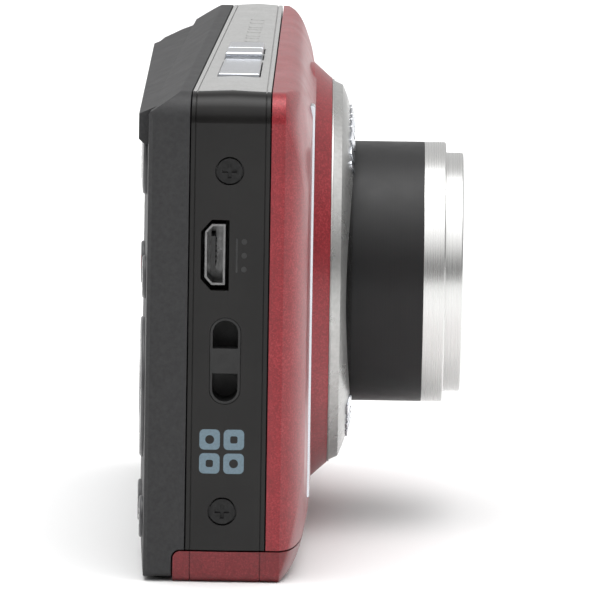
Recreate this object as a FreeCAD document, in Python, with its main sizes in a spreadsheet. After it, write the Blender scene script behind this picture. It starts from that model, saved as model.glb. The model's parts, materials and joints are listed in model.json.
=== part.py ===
import FreeCAD, Part
import Sketcher
import math
import os

# Compact digital camera with a retractable zoom lens, shown switched on with the lens out.
# Row frame: +Z up, the lens looks along -Y, and the hand grip is at -X. The origin is the mouth of
# the tripod socket in the base, straight below the lens axis. All lengths are in millimetres.

Vector = FreeCAD.Vector
doc = FreeCAD.newDocument("compact_camera")

# ---------------------------------------------------------------- driving dimensions
SIZES = {
    # body
    "width": 93.0,            # grip end to far end, over the side ridges
    "tall": 60.2,             # base to the ridge of the top deck
    "ridge": 0.2,             # how far the ridge of the middle band stands out of its edges
    "top_corner": 3.5,        # corner radius of the body seen from the front, at the top
    "base_corner": 1.2,       # the same at the base
    "lens_from_grip": 55.0,   # lens axis from the grip end
    "lens_up": 30.8,          # lens axis above the base
    "seam_gap": 0.16,         # open joint between two shells
    "wall": 1.5,              # shell thickness
    "rear_seam_grip": 6.55,   # Y of the seam between the band and the rear cover, at the grip end
    "rear_seam_far": 1.86,    # the same at the far end
    "front_seam_grip": -3.24,  # Y of the seam between the band and the front shell, at the grip end
    "front_seam_far": -4.37,  # the same at the far end
    "deck_start": 3.5,        # where the silver deck starts, from either end
    # front shell
    "shoulder_y": -5.0,       # where the front shell starts to curve in
    "face_grip_y": -7.9,      # front face at the grip end, in the middle and at the far end
    "face_mid_y": -8.65,
    "face_far_y": -7.4,
    "boss_base_r": 26.2,      # raised cone round the lens
    "boss_top_r": 24.2,
    "boss_y": -10.72,         # front of that cone
    # rear cover
    "thumb_edge_y": 11.6,     # rear face at the grip edge
    "thumb_end": 30.0,        # where the thumb panel meets the screen frame
    "thumb_end_y": 12.4,
    "screen_far": 88.0,       # far end of the screen frame
    "screen_far_y": 11.75,
    "rear_base": 0.5,         # underside of the rear cover, which stands on two nubs
    # battery door
    "door_top": 3.8,
    "door_under": 0.03,       # the door hangs this much clear of the floor
    "door_pin_x": 35.2,       # hinge pin, from the grip end
    "door_pin_z": 1.9,
    "door_knuckle": 1.75,
    "door_rear_y": 8.0,
    "door_corner": 0.9,
    # lens
    "barrel_r": 16.35,        # black outer barrel
    "barrel_wall": 1.1,
    "trim_y": -22.44,         # where the silver ring on the outer barrel starts
    "barrel_front_y": -25.15,
    "barrel_rear_y": -9.6,
    "nose_r": 15.04,          # inner barrel
    "nose_front_y": -27.35,
    "nose_rear_y": -17.4,
    "cam_clear": 0.1,         # radial play of each sleeve of the lens
    "bezel_r": 23.9,          # silver ring round the lens
    "bezel_lip_r": 23.4,
    "bezel_front_y": -13.6,
    "insert_half_x": 21.6,    # half axes of the black oval inside the silver ring
    "insert_half_z": 17.0,
    # batteries
    "cell_r": 7.1,
    "cell_long": 50.5,
    "cell_first": 14.0,       # centre of the first cell from the grip end
    "cell_pitch": 14.4,
    "cell_y": 1.6,
    "cell_base": 3.9,
}


class Size:
    """A number together with the spreadsheet formula that gives it."""

    def __init__(self, number, formula):
        self.number = number
        self.formula = formula

    def __add__(self, other):
        return Size(self.number + num(other), f"({self.formula} + {text(other)})")

    def __sub__(self, other):
        return Size(self.number - num(other), f"({self.formula} - {text(other)})")

    def __mul__(self, other):
        return Size(self.number * num(other), f"({self.formula} * {text(other)})")

    def __truediv__(self, other):
        return Size(self.number / num(other), f"({self.formula} / {text(other)})")

    def __radd__(self, other):
        return Size(num(other) + self.number, f"({text(other)} + {self.formula})")

    def __rsub__(self, other):
        return Size(num(other) - self.number, f"({text(other)} - {self.formula})")

    def __rmul__(self, other):
        return self * other

    def __neg__(self):
        return Size(-self.number, f"(0 - {self.formula})")


def num(value):
    """The number in a Size, or a plain number as it is."""
    return value.number if isinstance(value, Size) else float(value)


def text(value):
    """The formula of a Size, or a plain number as text."""
    if isinstance(value, Size):
        return value.formula
    return f"({value:.9f})" if value < 0 else f"{value:.9f}"


def fill_sheet():
    """Writes the driving dimensions into the spreadsheet and returns them by name."""
    sheet = doc.addObject("Spreadsheet::Sheet", "dims")
    found = {}
    for row, (name, value) in enumerate(SIZES.items(), start=1):
        sheet.set(f"A{row}", name)
        sheet.set(f"B{row}", str(value))
        sheet.setAlias(f"B{row}", name)
        found[name] = Size(value, f"dims.{name}")
    doc.recompute()
    return found


D = fill_sheet()

# ---------------------------------------------------------------- drawing helpers
TURN = {
    "x": FreeCAD.Rotation(Vector(0, 1, 0), Vector(0, 0, 1), Vector(1, 0, 0), "ZXY"),
    "y": FreeCAD.Rotation(Vector(1, 0, 0), Vector(0, 0, 1), Vector(0, -1, 0), "ZXY"),
    "z": FreeCAD.Rotation(),
}
DIRECTION = {"x": Vector(1, 0, 0), "y": Vector(0, -1, 0), "z": Vector(0, 0, 1)}
ARC_SHARE = 1 - math.sqrt(0.5)    # how far the middle of a quarter arc is from its square corner
pieces = {}


def bind(thing, field, value):
    thing.setExpression(field, text(value))


def place(thing, x, y, z, rotation=FreeCAD.Rotation()):
    thing.Placement = FreeCAD.Placement(Vector(num(x), num(y), num(z)), rotation)
    for axis, value in zip("xyz", (x, y, z)):
        bind(thing, f"Placement.Base.{axis}", value)


def from_grip(distance):
    """X of a point at this distance from the grip end."""
    return distance - D["lens_from_grip"]


def sketch(outline, rotation, x, y, z):
    """A closed sketch. Each corner is (u, v), or (u, v, via_u, via_v) where an arc leaves it."""
    drawing = doc.addObject("Sketcher::SketchObject", "outline")
    place(drawing, x, y, z, rotation)
    count = len(outline)
    starts = []
    ends = []
    vias = []
    for i, corner in enumerate(outline):
        after = outline[(i + 1) % count]
        a = Vector(num(corner[0]), num(corner[1]), 0)
        b = Vector(num(after[0]), num(after[1]), 0)
        if len(corner) == 4:
            via = Vector(num(corner[2]), num(corner[3]), 0)
            forward = (b - a).cross(via - a).z < 0    # sketch arcs run anticlockwise
            arc = Part.Arc(a, via, b) if forward else Part.Arc(b, via, a)
            index = drawing.addGeometry(arc, False)
            vias.append((index, corner[2:]))
        else:
            index = drawing.addGeometry(Part.LineSegment(a, b), False)
            forward = True
        starts.append((index, 1 if forward else 2))
        ends.append((index, 2 if forward else 1))
    for i in range(count):
        drawing.addConstraint(Sketcher.Constraint("Coincident", *ends[i], *starts[(i + 1) % count]))
    for i, corner in enumerate(outline):
        pin(drawing, f"corner{i}", starts[i], corner[:2])
    for index, (u, v) in vias:
        point = drawing.addGeometry(Part.Point(Vector(num(u), num(v), 0)), True)
        drawing.addConstraint(Sketcher.Constraint("PointOnObject", point, 1, index))
        pin(drawing, f"via{index}", (point, 1), (u, v))
    return drawing


def pin(drawing, name, point, values):
    """Holds a sketch point at two distances from the sketch's origin."""
    for kind, value in zip(("DistanceX", "DistanceY"), values):
        index = drawing.addConstraint(Sketcher.Constraint(kind, -1, 1, *point, num(value)))
        label = f"{name}_{kind[-1].lower()}"
        drawing.renameConstraint(index, label)
        bind(drawing, f"Constraints.{label}", value)


def prism(axis, outline, low, high):
    """An outline extruded along a row axis from low to high."""
    base = {"x": (low, 0, 0), "y": (0, high, 0), "z": (0, 0, low)}[axis]
    return extrude(sketch(outline, TURN[axis], *base), DIRECTION[axis], high - low)


def extrude(profile, direction, length):
    solid = doc.addObject("Part::Extrusion", "prism")
    solid.Base = profile
    solid.DirMode = "Custom"
    solid.Dir = direction
    solid.Solid = True
    bind(solid, "LengthFwd", length)
    return solid


def box(x0, x1, y0, y1, z0, z1):
    solid = doc.addObject("Part::Box", "block")
    place(solid, x0, y0, z0)
    bind(solid, "Length", x1 - x0)
    bind(solid, "Width", y1 - y0)
    bind(solid, "Height", z1 - z0)
    return solid


def rod(direction, x, y, z, radius, length):
    """A cylinder that starts at a point and runs along a direction."""
    solid = doc.addObject("Part::Cylinder", "rod")
    place(solid, x, y, z, FreeCAD.Rotation(Vector(0, 0, 1), Vector(*direction)))
    bind(solid, "Radius", radius)
    bind(solid, "Height", length)
    return solid


def turned(outline, x=0, z=None):
    """An outline of (radius, Y) corners turned about an axis along Y."""
    z = D["lens_up"] if z is None else z
    profile = sketch(outline, FreeCAD.Rotation(), x, 0, z)
    solid = doc.addObject("Part::Revolution", "turned")
    solid.Source = profile
    solid.Axis = Vector(0, 1, 0)
    solid.Base = Vector(num(x), 0, num(z))
    bind(solid, "Base.x", x)
    bind(solid, "Base.z", z)
    solid.Angle = 360
    solid.Solid = True
    return solid


def sleeve(outer, inner, rear, front, x=0, z=None):
    """A tube round an axis along Y."""
    return turned([(inner, front), (outer, front), (outer, rear), (inner, rear)], x, z)


def rounded(u0, u1, v0, v1, low_r, high_r=None):
    """A rectangle with one radius at its low corners and one at its high corners."""
    high_r = low_r if high_r is None else high_r
    low_m = low_r * ARC_SHARE
    high_m = high_r * ARC_SHARE
    return [
        (u0 + low_r, v0),
        (u1 - low_r, v0, u1 - low_m, v0 + low_m),
        (u1, v0 + low_r),
        (u1, v1 - high_r, u1 - high_m, v1 - high_m),
        (u1 - high_r, v1),
        (u0 + high_r, v1, u0 + high_m, v1 - high_m),
        (u0, v1 - high_r),
        (u0, v0 + low_r, u0 + low_m, v0 + low_m),
    ]


def fuse(*solids):
    joined = doc.addObject("Part::MultiFuse", "joined")
    joined.Shapes = list(solids)
    return joined


def common(*solids):
    shared = doc.addObject("Part::MultiCommon", "shared")
    shared.Shapes = list(solids)
    return shared


def cut(solid, *tools):
    left = doc.addObject("Part::Cut", "cut")
    left.Base = solid
    left.Tool = tools[0] if len(tools) == 1 else fuse(*tools)
    return left


def group(*solids):
    gathered = doc.addObject("Part::Compound", "group")
    gathered.Links = list(solids)
    return gathered


def round_edges(solid, radius, chosen):
    """Rounds the edges that chosen(edge) picks."""
    doc.recompute()
    picked = [i for i, edge in enumerate(solid.Shape.Edges, start=1) if chosen(edge)]
    rounding = doc.addObject("Part::Fillet", "rounded")
    rounding.Base = solid
    rounding.Edges = [(i, num(radius), num(radius)) for i in picked]
    doc.recompute()
    if rounding.Shape.isNull() or not rounding.Shape.isValid():
        raise RuntimeError(f"rounding {solid.Label} failed on edges {picked}")
    return rounding


def piece(label, solid):
    solid.Label = label
    pieces[label] = solid
    return solid


def at(value, wanted, slack=0.02):
    return abs(value - num(wanted)) < slack


# ---------------------------------------------------------------- body envelope
def seam_plane(grip_y, far_y, inset, corner_top, corner_base):
    """The body's front outline drawn in the upright plane through two Y values at its ends."""
    slant = math.atan2(num(far_y) - num(grip_y), num(D["width"]))
    turn = FreeCAD.Rotation(Vector(0, 0, 1), math.degrees(slant)).multiply(TURN["y"])
    stretch = 1 / math.cos(slant)
    outline = rounded(
        inset * stretch, (D["width"] - inset) * stretch, 0, D["tall"] - inset, corner_base, corner_top
    )
    return sketch(outline, turn, from_grip(0), grip_y, 0)


def band_block():
    """The middle band as a solid: its side faces are shallow roofs with a ridge half way."""
    edge_r = (D["top_corner"], D["base_corner"])
    ridge_r = (D["top_corner"] + D["ridge"], D["base_corner"] + D["ridge"])
    half_gap = D["seam_gap"] / 2
    rear = seam_plane(D["rear_seam_grip"] - half_gap, D["rear_seam_far"] - half_gap, D["ridge"], *edge_r)
    ridge = seam_plane(
        (D["rear_seam_grip"] + D["front_seam_grip"]) / 2,
        (D["rear_seam_far"] + D["front_seam_far"]) / 2,
        D["ridge"] * 0,
        *ridge_r,
    )
    front = seam_plane(D["front_seam_grip"] + half_gap, D["front_seam_far"] + half_gap, D["ridge"], *edge_r)
    loft = doc.addObject("Part::Loft", "band")
    loft.Sections = [front, ridge, rear]
    loft.Solid = True
    loft.Ruled = True
    return loft


def band_hollow(extra=0):
    inset = D["wall"] + D["ridge"] + extra
    outline = rounded(
        from_grip(inset), from_grip(D["width"] - inset), D["wall"] + extra, D["tall"] - inset, 1.4, 2.0
    )
    return prism("y", outline, -12, 16)


def pillow_section(y, side, top, base, corner):
    """The front shell's outline at one depth, drawn in by its insets."""
    outline = rounded(
        from_grip(D["ridge"] + side),
        from_grip(D["width"] - D["ridge"] - side),
        base,
        D["tall"] - D["ridge"] - top,
        corner - D["top_corner"] + D["base_corner"],
        corner,
    )
    return sketch(outline, TURN["y"], 0, y, 0)


def front_block():
    """The front shell's outer form: a straight skirt, a pillow-shaped shoulder and a bowed face."""
    shoulder = D["shoulder_y"]
    skirt = extrude(pillow_section(-2.0, 0, 0, 0, D["top_corner"]), DIRECTION["y"], -2.0 - shoulder)
    loft = doc.addObject("Part::Loft", "shoulder")
    loft.Sections = [
        pillow_section(shoulder, 0, 0, 0, D["top_corner"]),
        pillow_section(shoulder - 1.4, 1.8, 0.5, 1.0, 7.0),
        pillow_section(shoulder - 2.5, 4.4, 2.0, 2.7, 11.0),
        pillow_section(shoulder - 3.75, 9.5, 4.0, 7.5, 16.0),
    ]
    loft.Solid = True
    bow = prism(
        "z",
        [
            (from_grip(-1), 8),
            (from_grip(-1), D["face_grip_y"] + 0.15),
            (from_grip(6), D["face_grip_y"], from_grip(50), D["face_mid_y"]),
            (from_grip(88), D["face_far_y"]),
            (from_grip(D["width"] + 1), D["face_far_y"] + 0.25),
            (from_grip(D["width"] + 1), 8),
        ],
        -1,
        D["tall"] + 1,
    )
    seam = seam_side(D["front_seam_grip"] - D["seam_gap"] / 2, D["front_seam_far"] - D["seam_gap"] / 2, -20)
    return common(fuse(skirt, loft), bow, seam)


def seam_side(grip_y, far_y, beyond):
    """Everything on one side of a slanting seam plane, out to Y = beyond."""
    slope = (far_y - grip_y) / D["width"]
    outline = [
        (from_grip(-2), grip_y - slope * 2),
        (from_grip(D["width"] + 2), far_y + slope * 2),
        (from_grip(D["width"] + 2), beyond),
        (from_grip(-2), beyond),
    ]
    return prism("z", outline, -2, D["tall"] + 2)


def rear_block():
    """The rear cover's outer form: chamfered along the seam, with a fuller screen housing."""
    slide = D["rear_seam_far"] - D["rear_seam_grip"]
    low = D["rear_base"]
    top = D["tall"] - D["ridge"]
    chamfered = [
        (0, low),
        (12.2, low),
        (14.5, low + 2.6),
        (14.5, 51.6),
        (12.75, 55.3),
        (11.5, 57.7),
        (8.0, top),
        (0, top),
    ]
    ridge = sketch(chamfered, TURN["x"], from_grip(0), 0, 0)
    slanted = extrude(ridge, Vector(num(D["width"]), num(slide), 0).normalize(), D["width"] * 1.01)
    housing = [(0, low), (11.2, low), (12.9, low + 1.9), (12.9, 54.2), (12.2, 54.9), (7.0, 57.0), (0, 57.0)]
    slab = prism("x", housing, from_grip(0), from_grip(D["width"]))
    plan = [
        (from_grip(0.2), 0),
        (from_grip(0.2), D["thumb_edge_y"] - 0.5),
        (from_grip(0.7), D["thumb_edge_y"]),
        (from_grip(D["thumb_end"]), D["thumb_end_y"]),
        (from_grip(D["screen_far"]), D["screen_far_y"]),
        (from_grip(91.3), D["screen_far_y"] - 0.9),
        (from_grip(D["width"] - 0.2), D["screen_far_y"] - 3.0),
        (from_grip(D["width"] - 0.2), 0),
    ]
    face = prism("z", plan, 0, D["tall"])
    outline = rounded(
        from_grip(D["ridge"]),
        from_grip(D["width"] - D["ridge"]),
        low,
        D["tall"] - D["ridge"],
        D["base_corner"],
        D["top_corner"],
    )
    upright = prism("y", outline, 0, 15)
    half_gap = D["seam_gap"] / 2
    seam = seam_side(D["rear_seam_grip"] + half_gap, D["rear_seam_far"] + half_gap, 20)
    return fuse(common(fuse(slanted, slab), face, upright, seam), brow())


def brow():
    """The ridge along the top of the rear face, over the thumb panel and the screen."""
    near = [(8.0, 53.5), (12.2, 53.5), (12.85, 54.1), (12.85, 57.2), (8.0, 59.3)]
    far = [(7.3, 53.5), (11.7, 53.5), (12.18, 53.9), (12.18, 54.8), (7.3, 56.8)]
    loft = doc.addObject("Part::Loft", "brow")
    loft.Sections = [
        sketch(near, TURN["x"], from_grip(3.0), 0, 0),
        sketch(far, TURN["x"], from_grip(90.0), 0, 0),
    ]
    loft.Solid = True
    loft.Ruled = True
    return loft


def door_space(clear):
    """The room that the battery door takes out of the shells, grown by a clearance."""
    knuckle = D["door_knuckle"] + clear
    outline = [
        (from_grip(-2), -1),
        (from_grip(D["door_pin_x"]) + knuckle, -1),
        (from_grip(D["door_pin_x"]) + knuckle, D["door_top"] + clear),
        (from_grip(-2), D["door_top"] + clear),
    ]
    return common(prism("y", outline, -12, D["door_rear_y"] + clear), door_profile(clear))


def door_profile(clear):
    """The door's form seen from the grip end, with its top rear corner rounded."""
    rear = D["door_rear_y"] + clear
    top = D["door_top"] + clear
    radius = D["door_corner"] + clear
    drawn_in = radius * ARC_SHARE
    outline = [
        (-12, -1),
        (rear, -1),
        (rear, top - radius, rear - drawn_in, top - drawn_in),
        (rear - radius, top),
        (-12, top),
    ]
    return prism("x", outline, from_grip(-2), from_grip(60))


# ---------------------------------------------------------------- shells
FLASH = {"x0": 22.4, "x1": 33.2, "z0": 46.6, "z1": 53.4}
LAMP = {"x": 27.0, "z": 41.0, "r": 1.7}
STRIP = {"x0": 16.6, "x1": 19.4, "z0": 8.0, "z1": 56.6}
SCREEN = {"x0": 33.0, "x1": 87.5, "z0": 7.0, "z1": 50.5}


def face_hole(window, clear=0.0, depth=14):
    """A rounded opening through the front face."""
    outline = rounded(
        from_grip(window["x0"] - clear),
        from_grip(window["x1"] + clear),
        window["z0"] - clear,
        window["z1"] + clear,
        0.9,
    )
    return prism("y", outline, -14, -14 + depth)


def front_shell():
    skirt_room = rounded(from_grip(2.0), from_grip(D["width"] - 2.0), 3.2, D["tall"] - 1.9, 2.5, 3.5)
    face_room = rounded(from_grip(3.7), from_grip(D["width"] - 3.7), 4.0, D["tall"] - 1.9, 4.0, 5.0)
    boss = turned(
        [
            (15, -6.0),
            (D["boss_base_r"], -6.0),
            (D["boss_base_r"], -8.45),
            (D["boss_top_r"] + 0.25, -10.4),
            (D["boss_top_r"], D["boss_y"]),
            (15, D["boss_y"]),
        ]
    )
    bore = turned([(0, 0), (20.4, 0), (20.4, -14), (0, -14)])
    strip = box(
        from_grip(STRIP["x0"] - 0.05),
        from_grip(STRIP["x1"] + 0.05),
        -12,
        -7.45,
        STRIP["z0"] - 0.05,
        STRIP["z1"] + 0.05,
    )
    lamp = rod((0, 1, 0), from_grip(LAMP["x"]), -12, LAMP["z"], LAMP["r"] + 0.06, 8)
    microphone = rod((0, 1, 0), from_grip(84.0), -12, 53.0, 0.5, 8)
    shell = cut(
        fuse(cut(front_block(), prism("y", skirt_room, -5.4, 2), prism("y", face_room, -6.5, -5.3)), boss),
        bore,
        strip,
        lamp,
        microphone,
        face_hole(FLASH, 0.06),
        door_space(0.2),
    )
    return piece("front_shell", shell)


def grip_strip():
    bar = box(from_grip(STRIP["x0"]), from_grip(STRIP["x1"]), -8.56, -7.5, STRIP["z0"], STRIP["z1"])
    return piece("grip_strip", round_edges(bar, 0.25, lambda edge: at(edge.CenterOfMass.y, -8.56)))


def rear_cover():
    inner = [
        (from_grip(1.9), -1),
        (from_grip(1.9), D["thumb_edge_y"] - 1.3),
        (from_grip(D["thumb_end"]), D["thumb_end_y"] - 1.3),
        (from_grip(90.6), D["screen_far_y"] - 1.9),
        (from_grip(90.6), -1),
    ]
    hollow = prism("z", inner, 2.6, 54.4)
    window = screen_prism(0.08, 0.9, 3.0, SCREEN)
    view = screen_prism(-1.6, 6.0, 3.0, SCREEN)
    holes = [thumb_rod(x, z, radius + 0.12, -3.0, 5.0) for x, z, radius in ROUND_KEYS.values()]
    holes.append(thumb_rod(PAD["x"], PAD["z"], PAD["r"] + 0.15, -3.0, 5.0))
    holes.append(thumb_block(ROCKER, 0.15, -3.0, 2.0))
    return piece("rear_cover", cut(rear_block(), hollow, window, view, door_space(0.2), *holes))


def screen_y(distance):
    """Y of the screen frame's face at a distance from the grip end."""
    share = (distance - num(D["thumb_end"])) / (num(D["screen_far"]) - num(D["thumb_end"]))
    return D["thumb_end_y"] + (D["screen_far_y"] - D["thumb_end_y"]) * share


def screen_prism(clear, deep, proud, window):
    """A block square to the screen frame, from deep below its face to proud above it."""
    x0 = window["x0"] - clear
    x1 = window["x1"] + clear
    outline = [
        (from_grip(x0), screen_y(x0) - deep),
        (from_grip(x1), screen_y(x1) - deep),
        (from_grip(x1), screen_y(x1) + proud),
        (from_grip(x0), screen_y(x0) + proud),
    ]
    return prism("z", outline, window["z0"] - clear, window["z1"] + clear)


def screen_window():
    plate = screen_prism(0.0, 0.8, 0.0, SCREEN)
    upright = round_edges(plate, 1.2, lambda edge: at(edge.Length, 0.8) and edge.CenterOfMass.y > 5)
    return piece("screen_window", upright)


def deck_cut(x0, x1, low, high):
    return box(from_grip(x0), from_grip(x1), -12, 16, low, high)


def band_ring():
    return cut(band_block(), band_hollow())


def groove_lines(depth):
    """Fine lines parallel to both seams, which run round the band and over the door."""
    tools = []
    seams = (
        (D["rear_seam_grip"] - 0.62, D["rear_seam_far"] - 0.62),
        (D["front_seam_grip"] + 0.62, D["front_seam_far"] + 0.62),
    )
    for grip_y, far_y in seams:
        slope = (far_y - grip_y) / D["width"]
        outline = [
            (from_grip(-2), grip_y - slope * 2 - 0.06),
            (from_grip(D["width"] + 2), far_y + slope * 2 - 0.06),
            (from_grip(D["width"] + 2), far_y + slope * 2 + 0.06),
            (from_grip(-2), grip_y - slope * 2 + 0.06),
        ]
        tools.append(prism("z", outline, -2, D["tall"] + 2))
    inset = D["ridge"] + depth
    outline = rounded(
        from_grip(inset),
        from_grip(D["width"] - inset),
        depth,
        D["tall"] - inset,
        D["base_corner"] - 0.1,
        D["top_corner"] - 0.1,
    )
    return cut(fuse(*tools), prism("y", outline, -14, 16))


# ---------------------------------------------------------------- top deck and its keys
DECK_KEYS = {
    # name: start and end from the grip end, how proud, edge rounding
    "shutter_button": (17.0, 31.2, 0.3, 0.25),
    "power_button": (33.4, 38.2, 0.85, 0.4),
    "mode_button": (39.2, 44.4, 0.75, 0.35),
}


def key_band(distance):
    """Y limits of the row of keys on the deck, which narrows with the deck."""
    share = distance / num(D["width"])
    middle = (D["rear_seam_grip"] + D["front_seam_grip"]) / 2 * (1 - share)
    middle = middle + (D["rear_seam_far"] + D["front_seam_far"]) / 2 * share
    half = 2.75 - 1.25 * share
    return middle - half - 0.25, middle + half - 0.25


def key_prism(x0, x1, grow, low, high):
    y0a, y1a = key_band(x0)
    y0b, y1b = key_band(x1)
    outline = [
        (from_grip(x0 - grow), y0a - grow),
        (from_grip(x1 + grow), y0b - grow),
        (from_grip(x1 + grow), y1b + grow),
        (from_grip(x0 - grow), y1a + grow),
    ]
    return prism("z", outline, low, high)


def top_deck():
    start = num(D["deck_start"])
    ring = common(band_ring(), deck_cut(start, num(D["width"]) - start, 30, 64))
    slots = [key_prism(x0, x1, 0.14, 50, 64) for x0, x1, proud, rounding in DECK_KEYS.values()]
    return piece("top_deck", cut(ring, groove_lines(0.12), *slots))


def deck_keys():
    top = num(D["tall"])
    for name, (x0, x1, proud, rounding) in DECK_KEYS.items():
        cap = key_prism(x0, x1, 0.0, 58.2, top + proud)
        cap = round_edges(cap, rounding, lambda edge: at(edge.CenterOfMass.z, top + proud))
        flange = key_prism(x0, x1, 0.45 if x1 < 33 else 0.2, 57.35, 58.2)
        middle = (x0 + x1) / 2
        y0, y1 = key_band(middle)
        stem = rod((0, 0, 1), from_grip(middle), (y0 + y1) / 2, 56.95, 1.1, 0.6)
        piece(name, fuse(cap, flange, stem))


# ---------------------------------------------------------------- side panels
USB = {"y": 3.36, "z": 40.35}
LUG = {"y": 1.94, "z0": 22.0, "z1": 32.7, "half": 1.9}
SIDE_SCREWS = {"upper": (1.72, 50.7), "lower": (2.05, 8.8)}
FAR_SCREWS = {"upper": (-1.2, 50.7), "lower": (-1.2, 8.8)}


def usb_outline(width, height, slope):
    """The receptacle's outline in (Y, Z): flat towards the front, both rear corners cut off."""
    y0 = USB["y"] - width / 2
    y1 = USB["y"] + width / 2
    z0 = USB["z"] - height / 2
    z1 = USB["z"] + height / 2
    drop = slope * 1.1
    return [(y0, z0), (y1 - slope, z0), (y1, z0 + drop), (y1, z1 - drop), (y1 - slope, z1), (y0, z1)]


def stadium(y, half, z0, z1):
    return [
        (y - half, z0 + half, y, z0),
        (y + half, z0 + half),
        (y + half, z1 - half, y, z1),
        (y - half, z1 - half),
    ]


def grip_panel():
    ring = common(band_ring(), deck_cut(-1, num(D["deck_start"]) - 0.12, num(D["door_top"]) + 0.2, 64))
    port = prism("x", usb_outline(3.45, 8.7, 1.3), from_grip(-1), from_grip(4))
    lug = prism("x", stadium(LUG["y"], LUG["half"], LUG["z0"], LUG["z1"]), from_grip(-1), from_grip(4))
    tools = [port, lug]
    for y, z in SIDE_SCREWS.values():
        tools.append(rod((1, 0, 0), from_grip(-1), y, z, 1.75, 1.85))
        tools.append(rod((1, 0, 0), from_grip(-1), y, z, 0.85, 4))
    return piece("grip_panel", cut(ring, groove_lines(0.12), *tools))


def far_panel():
    edge = num(D["width"]) - num(D["deck_start"]) + 0.12
    ring = common(band_ring(), deck_cut(edge, 95, -1, 64))
    tools = []
    for y, z in FAR_SCREWS.values():
        tools.append(rod((-1, 0, 0), from_grip(94), y, z, 1.75, 1.85))
        tools.append(rod((-1, 0, 0), from_grip(94), y, z, 0.85, 4))
    for row in range(3):
        for column in range(3):
            tools.append(rod((-1, 0, 0), from_grip(94), -2.3 + 1.1 * column, 30.0 + 1.3 * row, 0.3, 4))
    return piece("far_panel", cut(ring, groove_lines(0.12), *tools))


def base_panel():
    start = num(D["door_pin_x"]) + num(D["door_knuckle"]) + 0.2
    ring = common(band_ring(), deck_cut(start, num(D["width"]) - num(D["deck_start"]), -1, 30))
    socket = rod((0, 0, 1), 0, 0, -1, 3.45, 5)
    tools = [socket]
    for x in BASE_SCREWS:
        tools.append(rod((0, 0, 1), from_grip(x), -1.0, -1, 1.3, 1.7))
        tools.append(rod((0, 0, 1), from_grip(x), -1.0, -1, 0.75, 4))
    x0 = from_grip(start + 0.6)
    guides = [box(x0, x0 + 6.6, y, y + 0.6, 1.45, 2.9) for y in (-2.8, 3.1)]
    return piece("base_panel", fuse(cut(ring, *tools), *guides))


BASE_SCREWS = (48.0, 80.0)


def screw(direction, x, y, z, head_r, head_long, shank_r, shank_long):
    """A cross-head screw whose head top is at the point given, driven along a direction."""
    aim = Vector(*direction)
    head = rod(direction, x, y, z, head_r, head_long)
    shank_at = Vector(num(x), num(y), num(z)) + aim * (head_long - 0.01)
    shank = rod(direction, shank_at.x, shank_at.y, shank_at.z, shank_r, shank_long)
    slots = []
    across = Vector(0, 1, 0) if abs(aim.z) > 0.5 else Vector(0, 0, 1)
    for side in (across, aim.cross(across)):
        blade = doc.addObject("Part::Box", "blade")
        blade.Length = head_r * 1.15
        blade.Width = 0.42
        blade.Height = head_long * 1.1
        turn = FreeCAD.Rotation(side, aim.cross(side), aim, "ZXY")
        corner = turn.multVec(Vector(-head_r * 0.575, -0.21, -head_long * 0.5))
        blade.Placement = FreeCAD.Placement(Vector(num(x), num(y), num(z)) + corner, turn)
        slots.append(blade)
    return cut(fuse(head, shank), *slots)


def case_screws():
    made = [screw((1, 0, 0), from_grip(0.15), y, z, 1.55, 0.65, 0.7, 4.2) for y, z in SIDE_SCREWS.values()]
    end = num(D["width"]) - 0.15
    made += [screw((-1, 0, 0), from_grip(end), y, z, 1.55, 0.65, 0.7, 3.6) for y, z in FAR_SCREWS.values()]
    made += [screw((0, 0, 1), from_grip(x), -1.0, 0.1, 1.15, 0.55, 0.6, 3.2) for x in BASE_SCREWS]
    return piece("case_screws", group(*made))


def strap_lug():
    outline = stadium(LUG["y"], LUG["half"] - 0.05, LUG["z0"] + 0.05, LUG["z1"] - 0.05)
    plug = prism("x", outline, from_grip(0.12), from_grip(5.2))
    middle = (LUG["z0"] + LUG["z1"]) / 2
    bar_half = 1.52
    y0 = LUG["y"] - 1.55
    y1 = LUG["y"] + 1.55
    above_bar = [
        (y0, middle + bar_half),
        (y1, middle + bar_half),
        (y1, LUG["z1"] - 1.9, LUG["y"], LUG["z1"] - 0.35),
        (y0, LUG["z1"] - 1.9),
    ]
    below_bar = [
        (y1, middle - bar_half),
        (y0, middle - bar_half),
        (y0, LUG["z0"] + 1.9, LUG["y"], LUG["z0"] + 0.35),
        (y1, LUG["z0"] + 1.9),
    ]
    upper = prism("x", above_bar, from_grip(-1), from_grip(4.4))
    lower = prism("x", below_bar, from_grip(-1), from_grip(4.4))
    behind = box(from_grip(1.9), from_grip(4.4), y0, y1, middle - 2.4, middle + 2.4)
    return piece("strap_lug", cut(plug, upper, lower, behind))


def usb_port():
    shell = prism("x", usb_outline(2.5, 7.5, 0.85), from_grip(0.75), from_grip(5.9))
    mouth = prism("x", usb_outline(1.95, 6.95, 0.7), from_grip(0), from_grip(5.6))
    piece("usb_receptacle", cut(shell, mouth))
    y = USB["y"]
    tongue = box(from_grip(1.3), from_grip(5.55), y - 0.05, y + 0.5, USB["z"] - 2.2, USB["z"] + 2.2)
    pads = []
    for row in range(-2, 3):
        z = USB["z"] + 0.65 * row
        pads.append(box(from_grip(1.5), from_grip(5.0), y - 0.17, y - 0.06, z - 0.17, z + 0.17))
    piece("usb_tongue", group(tongue, *pads))


def nubs():
    feet = [rod((0, 0, 1), from_grip(x), 9.75, 0, 0.75, num(D["rear_base"]) - 0.01) for x in (4.6, 88.4)]
    piece("rear_feet", group(*feet))


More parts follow.
